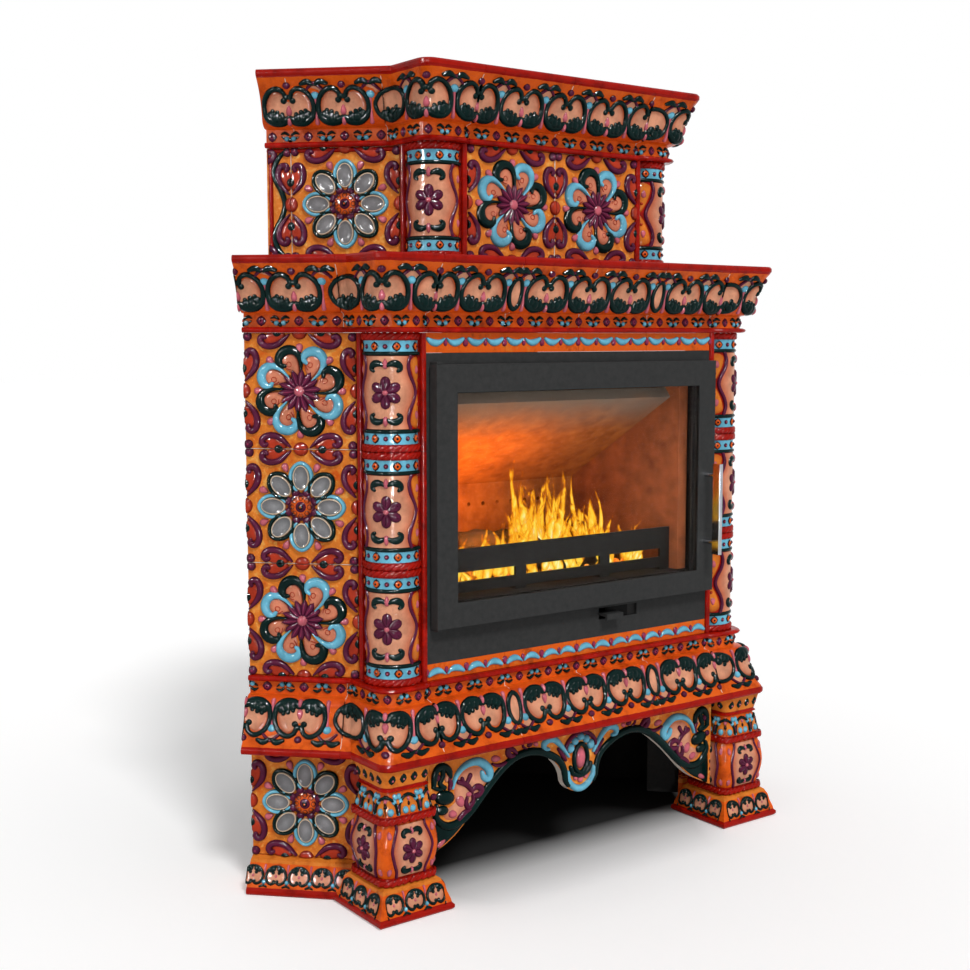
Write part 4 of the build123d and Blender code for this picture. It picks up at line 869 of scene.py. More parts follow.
def row(relief, form, count, pitch, start=None):
    """Repeat every form of a small relief along u with geometry nodes, and add the result."""
    start = -(count - 1) * pitch / 2 if start is None else start
    tree = row_tree()
    ids = {item.name: item.identifier for item in tree.interface.items_tree if item.in_out == "INPUT"}
    by_tint = {}
    for points, crest, faces, tint in form.parts():
        by_tint.setdefault(tint, Relief()).add(points, crest, faces, tint)
    for tint, single in by_tint.items():
        mesh = make_mesh("form", np.vstack(single.points) * MM, np.vstack(single.faces).tolist(),
                         crest=np.concatenate(single.crests))
        source = put("form", mesh)
        carrier = put("row", bpy.data.meshes.new("row"))
        modifier = carrier.modifiers.new("row", "NODES")
        modifier.node_group = tree
        for label, value in (("Form", source), ("Count", count), ("Pitch", pitch * MM), ("Start", start * MM),
                             ("Glaze", palette()[tint])):
            modifier[ids[label]] = value
        seen = carrier.evaluated_get(bpy.context.evaluated_depsgraph_get())
        made = bpy.data.meshes.new_from_object(seen)
        relief.take_mesh(made, tint)
        for item in (carrier, source):
            data = item.data
            bpy.data.objects.remove(item)
            bpy.data.meshes.remove(data)
        bpy.data.meshes.remove(made)
    return relief


# ------------------------------------------------------------------ ornament of the square tiles
def polar(radius, angle):
    """Point at a radius and an angle in degrees."""
    c, s = cos_sin(angle)
    return radius * c, radius * s


def rope(relief, z, low, high, base):
    """A twisted cord along v = z: slanting strands repeated by geometry nodes."""
    strand = Relief()
    strand.stroke([(-6.5, -3.6), (0, 0), (6.5, 3.6)], [9, 13, 9], "red", 4.6, base, fine=2, across=6)
    count = int((high - low) / STRAND_PITCH)
    pitch = (high - low) / count
    level = Relief()
    row(level, strand, count, pitch, low + pitch / 2)
    return relief.merge(level, 0, z)


def turned(points, angle):
    """Points turned about the middle of a tile, in degrees."""
    c, s = cos_sin(angle)
    return [(x * c - y * s, x * s + y * c) for x, y in points]


def tile_edges():
    """Half hearts, buttons and corner knobs along the four joints of a square tile."""
    relief = Relief()
    side = Relief()
    fill = [(x, EDGE - y) for x, y in ((26, 4), (40, 16), (54, 22), (68, 19), (66, 4), (46, -6))]
    curl = [(x, EDGE - y) for x, y in ((66, 9), (71, 7), (76, 12), (74, 20), (65, 25), (54, 25.5), (42, 22),
                                       (31, 14), (20, 4))]
    knob = (EDGE - 7, EDGE - 8.5)
    for flip in (1, -1):
        side.field(sided(flip, fill), "umber", 2.2)
        side.stroke(sided(flip, curl), [9, 12, 13, 13, 13, 13, 12, 9, 4], "purple", 5.2)
        side.dome((flip * 43, EDGE), (9.5, 9.5), "green", 4.6)
        side.dome((flip * 43, EDGE), (4.5, 4.5), "plum", 5.6, rings=3, around=8)
    side.dome((0, EDGE), (15, 13.5), "umber", 4.6)
    side.dome(knob, (9.5, 9), "purple", 4.2)
    side.dome(knob, (4, 4), "magenta", 5.0, rings=3, around=8)
    for quarter in range(4):
        relief.merge(side, turn=90 * quarter)
    limit = EDGE - 0.7
    return relief.clip((-limit, -limit), (limit, limit))


def daisy():
    """Eight hollow petals round a button."""
    relief = Relief()
    petal = [(31, -9), (42, -18), (56, -21), (70, -18), (80, -9.5), (83.5, 0)]
    petal += [(x, -y) for x, y in petal[-2::-1]]
    widths = [5, 7, 7.5, 7.5, 7.5, 8, 7.5, 7.5, 7.5, 7, 5]
    for k in range(8):
        angle = 45 * k
        tint, base = ("blue", 0.0) if k % 2 == 0 else ("green", 1.0)
        relief.dish(polar(55.5, angle), (22.5, 14.8), "grey", "sand", 3.6, angle, base, rim=2.0)
        relief.stroke(turned(petal, angle), widths, tint, 5.0, base, fine=2)
        relief.dome(polar(80, angle + 22.5), (9.5, 6.5), "pink", 4.0, angle + 202.5, 0.35)
    for k in range(8):
        relief.dome(polar(28, 45 * k + 22.5), (7, 8.5), "purple", 4.0, 45 * k + 22.5, 0.0, 1.0, 3, 10)
    relief.dome((0, 0), (27, 27), "purple", 2.8, base=1.0, around=24)
    relief.dome((0, 0), (23.5, 23.5), "ember", 4.4, base=1.0, around=24)
    for k in range(8):
        relief.stroke([np.add(polar(17.0, 45 * k), polar(4.6, 60 * j)) for j in range(6)], [1.9] * 6, "plum",
                      1.2, 3.9, closed=True, fine=1, across=3)
    relief.dome((0, 0), (11.5, 11.5), "purple", 6.6, base=2.6)
    relief.dome((0, 0), (6.5, 6.5), "plum", 3.2, base=7.0, rings=3, around=12)
    relief.dome((0, 0), (2.6, 2.6), "orange", 3.6, base=8.0, rings=3, around=8)
    return relief


def rosette():
    """Eight broad curled petals round a star of leaves."""
    relief = Relief()
    path = [(25, 20), (38, 33), (46, 46), (46.5, 60), (38, 71), (25, 74.5), (13, 70), (8, 60), (14, 53)]
    fill = [(20, 22), (33, 34), (41, 48), (40, 60), (30, 68), (17, 66), (11, 56), (10, 44), (13, 32)]
    curl = [(21, 54), (17, 50), (19, 45), (24, 45), (26, 50), (23, 54), (12, 50), (17, 40)]
    for k in range(8):
        angle = 22.5 + 45 * k - 67.5
        tint, base = ("green", 0.7) if k % 2 == 0 else ("blue", 0.0)
        relief.field(turned(fill, angle), "rose", 2.6, base * 0.5)
        relief.stroke(turned(path, angle), [3.5, 7.5, 12.5, 17, 20, 20, 17.5, 13.5, 8.5], tint, 5.8, base)
        relief.stroke(turned(curl, angle), [2.0] * 8, "umber", 1.3, 2.4, fine=2, across=3)
        relief.dome(polar(80.5, 45 * k), (9.5, 6.5), "pink", 4.0, 45 * k + 180, 0.35)
    for k in range(14):
        angle = 360 / 14 * k + 6
        rise = 0.8 * (k % 2)
        relief.stroke([polar(r, angle) for r in (9, 18, 27, 35, 41)], [5, 9.5, 13, 10.5, 2], "purple",
                      4.0 + rise, 1.4)
        relief.stroke([polar(r, angle) for r in (14, 26, 35)], [1.2, 2.2, 1.4], "magenta", 1.0, 5.4 + rise,
                      across=3, fine=1)
    relief.dome((0, 0), (14, 14), "plum", 4.0, base=2.0)
    relief.dome((0, 0), (11.5, 11.5), "pink", 6.8, base=2.2)
    return relief


def square_tile(flower):
    """A whole tile: its flower and edges, raised over the fields that the tile itself carries."""
    return flower.merge(tile_edges()).lift(RAISED)


def tile_joint(relief, points):
    """White slip in a straight joint between square tiles."""
    relief.stroke(points, [JOINT_W] * len(points), "slip", 1.2, fine=1, across=3)


# ------------------------------------------------------------------ ornament of the column tiles
def column_tile():
    """Cords, bands and beads at both ends and a flower panel between, round the shaft."""
    relief = Relief()
    reach = 77.0
    for z0, z1, tint, height in ((1, 13, "red", 3.4), (14.5, 36, "blue", 1.4), (184, 205.5, "blue", 1.4),
                                 (207, 219, "red", 3.4)):
        relief.panel([z0, z0 + 1.5, (z0 + z1) / 2, z1 - 1.5, z1], [reach] * 5, tint, height, 22)
    for z in (7, 213):
        rope(relief, z, -reach, reach, 1.6)
    for z in (38.5, 181.5):
        relief.stroke([(x, z) for x in (-reach, -40, 0, 40, reach)], [8.5] * 5, "green", 4.6, fine=5)
    bead = Relief()
    bead.field([(-9.5, 0), (0, 10), (9.5, 0), (0, -10)], "plum", 3.0, 1.0, fine=2)
    bead.field([(-7.5, 0), (0, 8), (7.5, 0), (0, -8)], "ember", 4.2, 1.0, fine=2)
    bead.dome((0, 0), (3.4, 3.8), "plum", 5.4, base=1.4, rings=3, around=8)
    dots = Relief()
    dots.dome((0, 0), (5.2, 5.2), "purple", 3.6, base=1.0, rings=3, around=10)
    dots.dome((0, 0), (2.2, 2.2), "pink", 4.4, base=1.4, rings=2, around=6)
    for z in (25.5, 194.5):
        level = Relief()
        row(level, bead, 4, 41.5)
        row(level, dots, 3, 41.5)
        relief.merge(level, 0, z)
    edge = [(48, 43), (43, 60), (47, 78), (57, 96), (61, 110), (57, 124), (47, 142), (43, 160), (48, 177)]
    for flip in (1, -1):
        for top in (1, -1):
            corner = [(x, EDGE + top * y)
                      for x, y in ((76, 64), (52, 62), (50, 48), (56, 30), (68, 8), (76, 6))]
            relief.field(sided(flip, corner), "amber", 1.8)
            relief.dome((flip * 66, EDGE + top * 42), (9.5, 6), "pink", 4.0, 90, 0.3 * top)
            relief.dome((flip * 70, EDGE + top * 22), (4, 4), "umber", 3.4, rings=3, around=8)
    rows = smooth(np.array(edge, float), 2)
    relief.panel(rows[:, 1], rows[:, 0], "peach", 2.0, 16)
    for flip in (1, -1):
        relief.stroke(sided(flip, edge), [8.5] * 9, "purple", 5.0)
    relief.merge(panel_flower(), 0, EDGE)
    return relief


def panel_flower(petal=28.0, width=18.5, hooks=50.0):
    """Six-petalled flower with a pair of hooks over and under it."""
    relief = Relief()
    for k in range(6):
        angle = 30 + 60 * k
        rise = 0.5 * (k % 2)
        relief.stroke([polar(petal * f, angle) for f in (0.22, 0.42, 0.62, 0.74)],
                      [width * f for f in (0.45, 0.85, 1.1, 1.05)], "purple", 4.6 + rise, 1.6)
        relief.stroke([polar(petal * f, angle) for f in (0.35, 0.85)], [1.2, 1.8], "plum", 1.0, 5.6 + rise,
                      across=3, fine=1)
    relief.dome((0, 0), (petal * 0.22,) * 2, "pink", 7.0, base=1.6, rings=3)
    for turn in (0, 180):
        half = Relief()
        for flip in (1, -1):
            line = ((0.08, 0.0), (0.2, 0.06), (0.36, 0.07), (0.5, 0.0), (0.54, -0.13), (0.46, -0.2))
            half.stroke([(flip * x * hooks, hooks * (1 + y)) for x, y in line],
                        [width * f for f in (0.4, 0.62, 0.78, 0.74, 0.58, 0.4)], "green", 4.8, 1.6)
        half.dome((0, hooks * 1.06), (hooks * 0.2, hooks * 0.1), "pink", 5.6, 90, 0.35, 1.6)
        relief.merge(half, turn=turn)
    return relief


# ------------------------------------------------------------------ ornament of the cornices
def apple():
    """One open ring of the cove with foliage at its foot and a curl at its crown."""
    relief = Relief()
    half = [(5, 100), (9, 111), (20, 117.5), (34, 113.5), (45, 101), (50, 84), (48, 67), (40, 57), (27, 52.5),
            (12, 54), (3, 60)]
    fill = [(0, 92), (10, 104), (22, 112), (34, 108), (44, 94), (47, 78), (44, 64), (30, 55), (0, 52)]
    relief.field(fill + sided(-1, fill[-2:0:-1]), "peach", 1.6)
    for flip in (1, -1):
        relief.stroke(sided(flip, half), [11, 10, 10.5, 11, 11, 11, 12, 14, 17, 17, 12], "green", 5.4)
        for s, t, r in ((9, 94, 7), (3.5, 101, 6.5), (16, 60, 10), (27, 61, 12), (36, 66, 10), (14, 68, 5),
                        (24, 71.5, 5.5), (33, 74.5, 5)):
            relief.dome((flip * s, t), (r, r), "green", 4.2 + 0.22 * r, rings=3, around=14)
    relief.dome((0, 75), (11, 6), "pink", 5.6, 90, 0.4, 0.6)
    relief.dome((0, 55), (8, 4.8), "pink", 7.0, 90, 0.2, 0.6)
    relief.dome((0, 124), (7.5, 7.0), "purple", 5.0)
    return relief.lift(COVE_RAISED)


def narrow_ring(half=14.0, foliage=False):
    """The slender ring that closes a tile of the cornice."""
    relief = Relief()
    wave = [(x * half, t) for x, t in ((0, 113), (0.6, 107), (0.95, 92), (1.0, 78), (0.74, 61), (0, 52))]
    wave += sided(-1, wave[-2:0:-1])
    relief.field(wave, "peach", 1.6)
    if foliage:
        for s, t, r in ((-22, 64, 10), (22, 64, 10), (-10, 60, 11), (10, 60, 11), (0, 68, 9), (-14, 74, 7),
                        (14, 74, 7)):
            relief.dome((s, t), (r, r), "green", 5.6, rings=3, around=12)
    relief.stroke(wave, [9.5] * 10, "green", 5.0, closed=True)
    return relief.lift(COVE_RAISED)


def between_apples():
    """Ball on a stem between two rings, with a chevron and a leaf pair over it."""
    relief = Relief()
    relief.field([(-19, 113), (0, 128), (19, 113), (10, 103), (-10, 103)], "peach", 1.6, fine=2)
    relief.stroke([(0, 50), (0, 62), (0, 80), (0, 96)], [9.5, 6.5, 5.5, 8], "pink", 4.2)
    relief.dome((0, 103), (10, 9), "blue", 5.6)
    for flip in (1, -1):
        relief.stroke(sided(flip, ((20, 111), (11, 120), (1, 128))), [5, 6.5, 6], "purple", 4.2, 1.0)
        relief.stroke(sided(flip, ((3, 126), (13, 131), (25, 127))), [8, 13, 8], "green", 5.6, 1.0)
    return relief


def band_motif():
    """Diamond button of the band."""
    relief = Relief()
    relief.field([(-10.5, 12), (0, 22.5), (10.5, 12), (0, 1.5)], "purple", 3.2, fine=2)
    relief.field([(-6, 12), (0, 18), (6, 12), (0, 6)], "magenta", 4.4, fine=2)
    relief.dome((0, 12), (3.4, 3.4), "plum", 5.2, rings=3, around=8)
    return relief


def band_trefoil():
    """Three-lobed bud with leaves on the band."""
    relief = Relief()
    for s, t in ((-7, 8), (7, 8)):
        relief.dome((s, t), (6.2, 5.6), "blue", 4.0, rings=3, around=10)
    for flip in (1, -1):
        relief.stroke(sided(flip, ((4, 16), (11, 20), (18, 17))), [5, 7, 3], "green", 4.4, fine=2)
        relief.stroke(sided(flip, ((13, 9), (17, 12))), [5, 3], "green", 3.6, fine=2)
    relief.dome((0, 5), (5, 4.5), "green", 4.8, rings=3, around=10)
    relief.dome((0, 12), (3.4, 3.4), "ember", 5.6, rings=3, around=8)
    return relief


def cornice_relief(low, high, forms, pitch=BAND_PITCH, first=0.0):
    """Ornament of one stretch of cornice: the (form, place) pairs of its cove and the row of its band."""
    relief = Relief()
    for form, s in forms:
        relief.merge(form, s, 0)
    start = first + pitch * math.floor((low - first) / pitch)
    count = int(math.ceil((high - start) / pitch)) + 1
    strip = Relief()
    row(strip, band_motif(), count, pitch, start)
    row(strip, band_trefoil(), count, pitch, start + pitch / 2)
    for piece in strip.apart():
        relief.merge(piece)
    return relief.clip((low - 0.4, 0), (high + 0.4, 200))


def joint_line(relief, s):
    """White slip in the joint between two cornice tiles."""
    heights = [1, 25, 29, 40, 60, 80, 100, 120, 138]
    relief.stroke([(s, t) for t in heights], [1.6] * len(heights), "slip", 0.8, fine=1, across=3)


def frieze_leaves():
    """Two broad leaves turned to each other, with a drop under each joint between them."""
    relief = Relief()
    leaf = [(40, 5), (31, -0.5), (20, -2.5), (10, 0.5), (3, 6)]
    for flip in (1, -1):
        relief.stroke(sided(flip, leaf), [8, 13.5, 14, 9, 3], "blue", 4.6, fine=2)
    relief.dome((46.5, -1), (9, 6), "magenta", 4.6, 90, 0.35, rings=3, around=10)
    relief.dome((0, -1), (8, 4.4), "magenta", 4.0, 90, 0.3, rings=3, around=10)
    return relief


def small_apple():
    """Ring with foliage of the feet and plinths; v = 0 at the foot of the cove."""
    relief = Relief()
    half = [(2, 42), (9, 40), (17, 33), (20, 22), (16, 12), (8, 8), (2, 12)]
    relief.field(half + sided(-1, half[::-1]), "peach", 1.2, fine=2)
    for flip in (1, -1):
        relief.stroke(sided(flip, half), [6] * 6 + [6.5], "green", 4.2, fine=2, across=5)
        for s, t, r in ((5, 37, 5), (11, 34, 4.6), (6, 30, 4)):
            relief.dome((flip * s, t), (r, r), "green", 4.6, rings=3, around=8)
        relief.dome((flip * 3.4, 13), (3.6, 4), "green", 5.0, rings=3, around=8)
    relief.dome((0, 24), (4, 3), "pink", 3.0, 90, 0.3, rings=3, around=8)
    return relief


def small_ball():
    """Ball between the rings of the feet."""
    relief = Relief()
    relief.stroke([(0, 30), (0, 38), (0, 44)], [3, 4, 5], "pink", 3.0, fine=2, across=4)
    relief.dome((0, 12), (4.6, 5), "blue", 4.4, rings=3, around=10)
    for flip in (1, -1):
        relief.stroke(sided(flip, ((1, 5), (7, 2))), [5, 3], "green", 3.6, fine=1, across=4)
    return relief


def shaft_panel():
    """Flower panel of a pedestal's shaft; v = 0 at the foot of the shaft, 103 at its head."""
    relief = Relief()
    edge = [(31, 2), (32, 14), (38, 30), (43, 48), (44, 56), (42, 66), (36, 82), (31, 94), (31, 101)]
    rows = smooth(np.array(edge, float), 2)
    relief.panel(rows[:, 1], rows[:, 0], "peach", 1.6, 12)
    for flip in (1, -1):
        relief.stroke(sided(flip, edge), [6.5] * 9, "purple", 4.4, across=5)
        for z, taper in ((86, 0.3), (14, -0.3)):
            relief.dome((flip * 47, z), (8, 4.6), "pink", 3.8, 90, taper)
    return relief.merge(panel_flower(23.0, 14.5, 36.0), 0, 50)


def capital_front():
    """Arches, lobes and a trefoil of a pedestal's capital; v = 0 at its foot, 44 at its head."""
    relief = Relief()
    arch = ((-22, 4), (-20, 20), (-12, 32), (0, 37), (12, 32), (20, 20), (22, 4))
    for s in (-48, 0, 48):
        relief.field([(s - 20, 3), (s + 20, 3), (s + 17, 24), (s, 36), (s - 17, 24)], "amber", 1.2, fine=2)
        relief.stroke([(s + x, z) for x, z in arch], [5, 6, 6.5, 7, 6.5, 6, 5], "green", 4.4, fine=2,
                      across=5)
        for x, turn in ((-8, 20), (8, -20)):
            relief.dome((s + x, 9), (7, 8), "blue", 4.2, turn, rings=3, around=10)
        relief.dome((s, 20), (3.2, 5), "plum", 4.2, rings=3, around=8)
        relief.dome((s, 29), (3.4, 5), "pink", 4.6, rings=3, around=8)
    for s in (-24, 24):
        for x, z in ((-7, 27), (7, 27), (-4, 36), (4, 36)):
            relief.dome((s + x, z), (5.5, 6.5), "blue", 4.6, 30 if x < 0 else -30, rings=3, around=10)
        relief.dome((s, 26), (4, 6), "amber", 5.4, rings=3, around=8)
        relief.dome((s, 14), (10, 4.6), "purple", 4.8, 90, 0.3, rings=3, around=10)
        relief.dome((s, 4), (5, 4), "blue", 3.8, rings=3, around=10)
    return relief


def apron_relief():
    """Shield, rolls and scrolls of the apron; u from its middle, v the height over the floor."""
    relief = Relief()
    for flip in (1, -1):
        def line(*points):
            """Points on this half of the apron."""
            return sided(flip, points)

        relief.field(line((222, 218), (236, 236), (262, 246), (292, 244), (312, 226), (320, 204), (318, 182),
                          (338, 170), (346, 158), (334, 147), (308, 148), (288, 160), (264, 184), (244, 204)),
                     "peach", 1.4)
        relief.stroke(line((33, 161), (40, 173), (42, 188), (48, 206), (64, 224), (98, 242), (136, 250),
                           (176, 243), (214, 219), (250, 186), (280, 157), (306, 141), (334, 138), (354, 150),
                           (364, 168), (361, 184)),
                      [9, 12, 14, 15, 16, 17] + [17.5] * 6 + [17, 16, 14, 10], "green", 7.6)
        relief.stroke(line((33, 222), (43, 236), (55, 251), (70, 264), (86, 266), (97, 259), (95, 249),
                           (86, 247)), [5, 9, 12, 15, 16, 15, 12, 8], "blue", 6.8)
        relief.stroke(line((60, 243), (49, 229), (40, 216)), [6, 11, 7], "purple", 5.4)
        relief.dome((flip * 133, 265), (8, 6), "purple", 5.0, 20)
        relief.dome((flip * 118, 263), (7, 5), "pink", 4.4, 160, 0.2)
        relief.stroke(line((152, 270), (149, 262), (142, 258)), [4, 6, 4], "purple", 4.4)
        relief.stroke(line((168, 254), (176, 262), (186, 266), (188, 257), (181, 249), (172, 247), (186, 240),
                           (202, 236), (216, 237), (227, 242)),
                      [8, 11, 13, 14, 13, 12, 12, 10, 8, 5], "purple", 6.2)
        relief.dome((flip * 218, 251), (12, 7), "pink", 5.0, 10 * flip, 0.2)
        relief.stroke(line((324, 212), (316, 232), (301, 247), (281, 254), (260, 253), (243, 242), (233, 227),
                           (238, 215), (249, 220), (253, 230)),
                      [5, 9, 13, 16, 18, 19, 19, 17, 14, 10], "blue", 7.6)
        for stem, widths in (
                (((308, 221), (292, 214), (283, 205), (277, 195)), (9, 11, 10, 7)),
                (((281, 229), (289, 216)), (10, 8)), (((300, 226), (296, 216)), (8, 7)),
                (((278, 198), (266, 204), (254, 198), (256, 187), (270, 186)), (8, 12, 13, 13, 10)),
                (((276, 190), (274, 177), (285, 166), (291, 175), (289, 186)), (6, 9, 11, 10, 7)),
                (((278, 162), (294, 158), (306, 149), (310, 138)), (7, 10, 10, 7)),
                (((332, 232), (327, 222), (330, 212)), (7, 10, 7))):
            relief.stroke(line(*stem), [1.15 * width for width in widths], "purple", 6.4)
        relief.dome((flip * 304, 181), (13, 10), "pink", 5.6, 60 * flip, 0.2)
        relief.dome((flip * 284, 192), (8, 6), "pink", 5.0)
        relief.dome((flip * 322, 160), (11, 8), "pink", 5.0, 20 * flip, 0.2)
        relief.stroke(line((366, 226), (364, 245), (356, 257), (343, 258), (331, 248), (328, 236)),
                      [12, 15, 16, 16, 15, 11], "green", 6.6)
        relief.stroke(line((347, 256), (345, 241), (352, 226), (342, 216)), [11, 12, 12, 10], "green", 6.2)
        relief.stroke(line((368, 222), (354, 215), (340, 217)), [8, 9, 7], "green", 5.4)
        relief.dome((flip * 357, 239), (6, 8), "purple", 5.4)
        relief.dome((flip * 336, 233), (5, 8), "peach", 4.0)
        relief.dome((flip * 367, 203), (8, 7), "purple", 5.0)
        relief.dome((flip * 341, 196), (24, 15), "green", 10.0, 12 * flip)
        relief.dome((flip * 347, 172), (15, 10), "green", 8.6, 8 * flip)
        relief.field(line((280, 152), (318, 132), (346, 134), (364, 146), (372, 152), (372, 88.5),
                          (351, 99.5), (336, 106.5), (320, 115.8), (303, 128.5), (286, 144)), "green", 3.0)
        relief.dome((flip * 350, 108), (13, 6), "pink", 5.4, -30 * flip, 0.2)
        relief.dome((flip * 27, 238), (10, 11), "blue", 7.4)
        relief.dome((flip * 15, 251), (9, 9), "blue", 7.2)
        relief.stroke(line((4, 268), (17, 264), (29, 257), (38, 246), (41, 232)), [8, 10, 10, 10, 7],
                      "purple", 5.6)
        relief.dome((flip * 14, 173), (6, 5), "pink", 5.4, 30 * flip)
    relief.dome((0, 258), (10, 8), "blue", 7.6)
    relief.stroke([(34, 188), (32, 172), (19, 156), (0, 149), (-19, 156), (-32, 172), (-34, 188)],
                  [10, 13, 15, 15, 15, 13, 10], "blue", 6.8)
    relief.dome((0, 168), (8, 7), "pink", 5.4)
    relief.stroke([(-27, 198), (-20, 184), (0, 177), (20, 184), (27, 198)], [9, 12, 12, 12, 9], "green", 7.0)
    relief.stroke([polar_oval(18, 30, 45 * k, 213) for k in range(8)], [10] * 8, "green", 7.2, closed=True)
    relief.dome((0, 213), (13, 23), "pink", 7.0, around=20)
    return relief


def polar_oval(wide, high, angle, z):
    """Point of an oval whose middle is at the height z."""
    c, s = cos_sin(angle)
    return wide * c, z + high * s


# ------------------------------------------------------------------ helpers for places on the stove
class Storey:
    """Plan lines of one storey: front, bevels and side faces."""

    def __init__(self, half, front, run, side_ring):
        self.half = half
        self.front = front
        self.run = run
        self.side_ring = side_ring            # first whole ring of the side cornice, from the bevel
        self.start = (-half - BEVEL, front + BEVEL + SIDE_INSET * ROOT2)
        self.bevel = (-half - BEVEL / 2, front + BEVEL / 2)

    def left(self, z):
        """Left side face, from its bevel, at the height z."""
        return Flat(self.start[0], self.start[1], z, (1 / ROOT2, -1 / ROOT2))

    def right(self, z):
        """Right side face, from its bevel, at the height z."""
        return Flat(-self.start[0], self.start[1], z, (1 / ROOT2, 1 / ROOT2))

    def column(self, side, z):
        """Shaft of a column tile on the left (-1) or right (1) bevel."""
        along = (1 / ROOT2, side / ROOT2)
        return Round(side * -self.bevel[0], self.bevel[1], z, along, SHAFT_RADIUS)


LOWER = Storey(FRONT_HALF, 0.0, TILE, 110.0)
UPPER = Storey(UPPER_HALF, UPPER_BACK, TILE + 46.0, 104.0)


def cornice_parts(storey, z, flipped, front_tiles):
    """Relief and surface for the front, both corner blocks and both sides of a cornice."""
    line = cornice_line()
    ring, stem, slim, leafy = apple(), between_apples(), narrow_ring(), narrow_ring(40.0, True)
    parts = []
    half = storey.half - 6.0
    pitch = 2 * half / front_tiles
    forms = []
    for i in range(front_tiles):
        low = -half + i * pitch
        turn = -1 if i % 2 else 1
        start = low if turn > 0 else low + pitch
        forms += [(ring, start), (ring, start + turn * RING_PITCH), (stem, start + turn * RING_PITCH / 2)]
        forms.append((stem, start + turn * (164 if front_tiles == 2 else pitch - 21.5)))
        if turn > 0:
            forms.append((ring if front_tiles == 2 else slim, start + pitch))
        elif i == front_tiles - 1:
            forms.append((ring, start))
    front = Profile(line, straight(0, storey.front, (1, 0)), z, CORNICE_H, flipped)
    parts.append((cornice_relief(-half, half, forms), front))
    joints = Relief()
    for i in range(front_tiles + 1):
        joint_line(joints, -half + i * pitch)
    parts.append((joints, front))
    forms = [(leafy, -101), (ring, 0), (ring, BLOCK_RIGHT), (stem, BLOCK_RIGHT / 2), (stem, -55)]
    for mirrored in (False, True):
        outline = block(storey.half, storey.front, storey.start)
        parts.append((cornice_relief(-BLOCK_LEFT, BLOCK_RIGHT, forms, BAND_PITCH, 3.0),
                      Profile(line, outline, z, CORNICE_H, flipped, mirrored)))
    near = storey.side_ring
    for flat in (storey.left(0), storey.right(0)):
        sign = -1 if flat.out[0] < 0 else 1
        forms = [(leafy, 0), (ring, sign * near), (ring, sign * (near + RING_PITCH)),
                 (stem, sign * (near - RING_PITCH / 2)), (stem, sign * (near + RING_PITCH / 2))]
        low, high = sorted((sign * 24, sign * (storey.run - 0.8)))
        relief = cornice_relief(low, high, forms, 73.4, sign * 37)
        joint_line(relief, sign * 24.4)
        if storey.run > TILE:
            joint_line(relief, sign * (near + RING_PITCH))
        parts.append((relief, Profile(line, along_face(flat), z, CORNICE_H, flipped)))
    return parts


# ------------------------------------------------------------------ operators
class STOVE_OT_square_tiles(bpy.types.Operator):
    """Model the daisies and rosettes of the square tiles."""
    bl_idname = "stove.square_tiles"
    bl_label = "Square tiles"

    def execute(self, context):
        star, flower = square_tile(rosette()), square_tile(daisy())
        left, right = [], []
        for course, tile in enumerate((star, flower, star)):
            z = BODY_Z + TILE * course + EDGE
            for parts, face, sign in ((left, LOWER.left(z), -1), (right, LOWER.right(z), 1)):
                parts.append((Relief().merge(tile, sign * EDGE), face))
                if course:
                    joint = Relief()
                    tile_joint(joint, [(sign * s, -EDGE) for s in (1, 60, 120, 180, 219)])
                    parts.append((joint, face))
        build("relief_side_left", left)
        build("relief_side_right", right)
        z = LEDGE_Z - EDGE + 0.5
        build("relief_base_sides",
              [(Relief().merge(flower, sign * EDGE).clip((-TILE, -108.8), (TILE, 108.8)), face)
               for face, sign in ((LOWER.left(z), -1), (LOWER.right(z), 1))])
        z = UPPER_Z + EDGE
        fronts = [(Relief().merge(star, s), Flat(0, UPPER_BACK, z, (1, 0))) for s in (-EDGE, EDGE)]
        joint = Relief()
        tile_joint(joint, [(0, v) for v in JOINT_STEPS])
        build("relief_upper_front", fronts + [(joint, fronts[0][1])])
        wave = [(228, 108), (247, 88), (255, 66), (250, 46), (240, 26), (233, 0)]
        wave += [(s, -v) for s, v in wave[-2::-1]]
        sides = []
        for face, sign in ((UPPER.left(z), -1), (UPPER.right(z), 1)):
            sides.append((Relief().merge(flower, sign * EDGE), face))
            low, high = sorted((sign * 220.7, sign * 265))
            cut = Relief().merge(tile_edges().lift(RAISED), sign * 1.5 * TILE).clip((low, -109), (high, 109))
            cut.stroke(sided(sign, wave), [8, 11, 13, 13, 12, 11, 12, 13, 13, 11, 8], "green", 6.0)
            cut.stroke([(sign * 261, v) for v in JOINT_STEPS], [9] * 5, "red", 5.0)
            cut.stroke([(sign * s, 104.5) for s in (1, 60, 120, 200, 265)], [9] * 5, "red", 5.0)
            tile_joint(cut, [(sign * TILE, v) for v in JOINT_STEPS])
            sides.append((cut, face))
        build("relief_upper_sides", sides)
        return {"FINISHED"}


class STOVE_OT_columns(bpy.types.Operator):
    """Model the flower panels and bands of the column tiles."""
    bl_idname = "stove.columns"
    bl_label = "Columns"

    def execute(self, context):
        tile = column_tile()
        for side, name in ((-1, "left"), (1, "right")):
            build("relief_column_" + name,
                  [(tile, LOWER.column(side, BODY_Z + TILE * course)) for course in range(3)])
            build("relief_upper_column_" + name, [(tile, UPPER.column(side, UPPER_Z))])
        return {"FINISHED"}


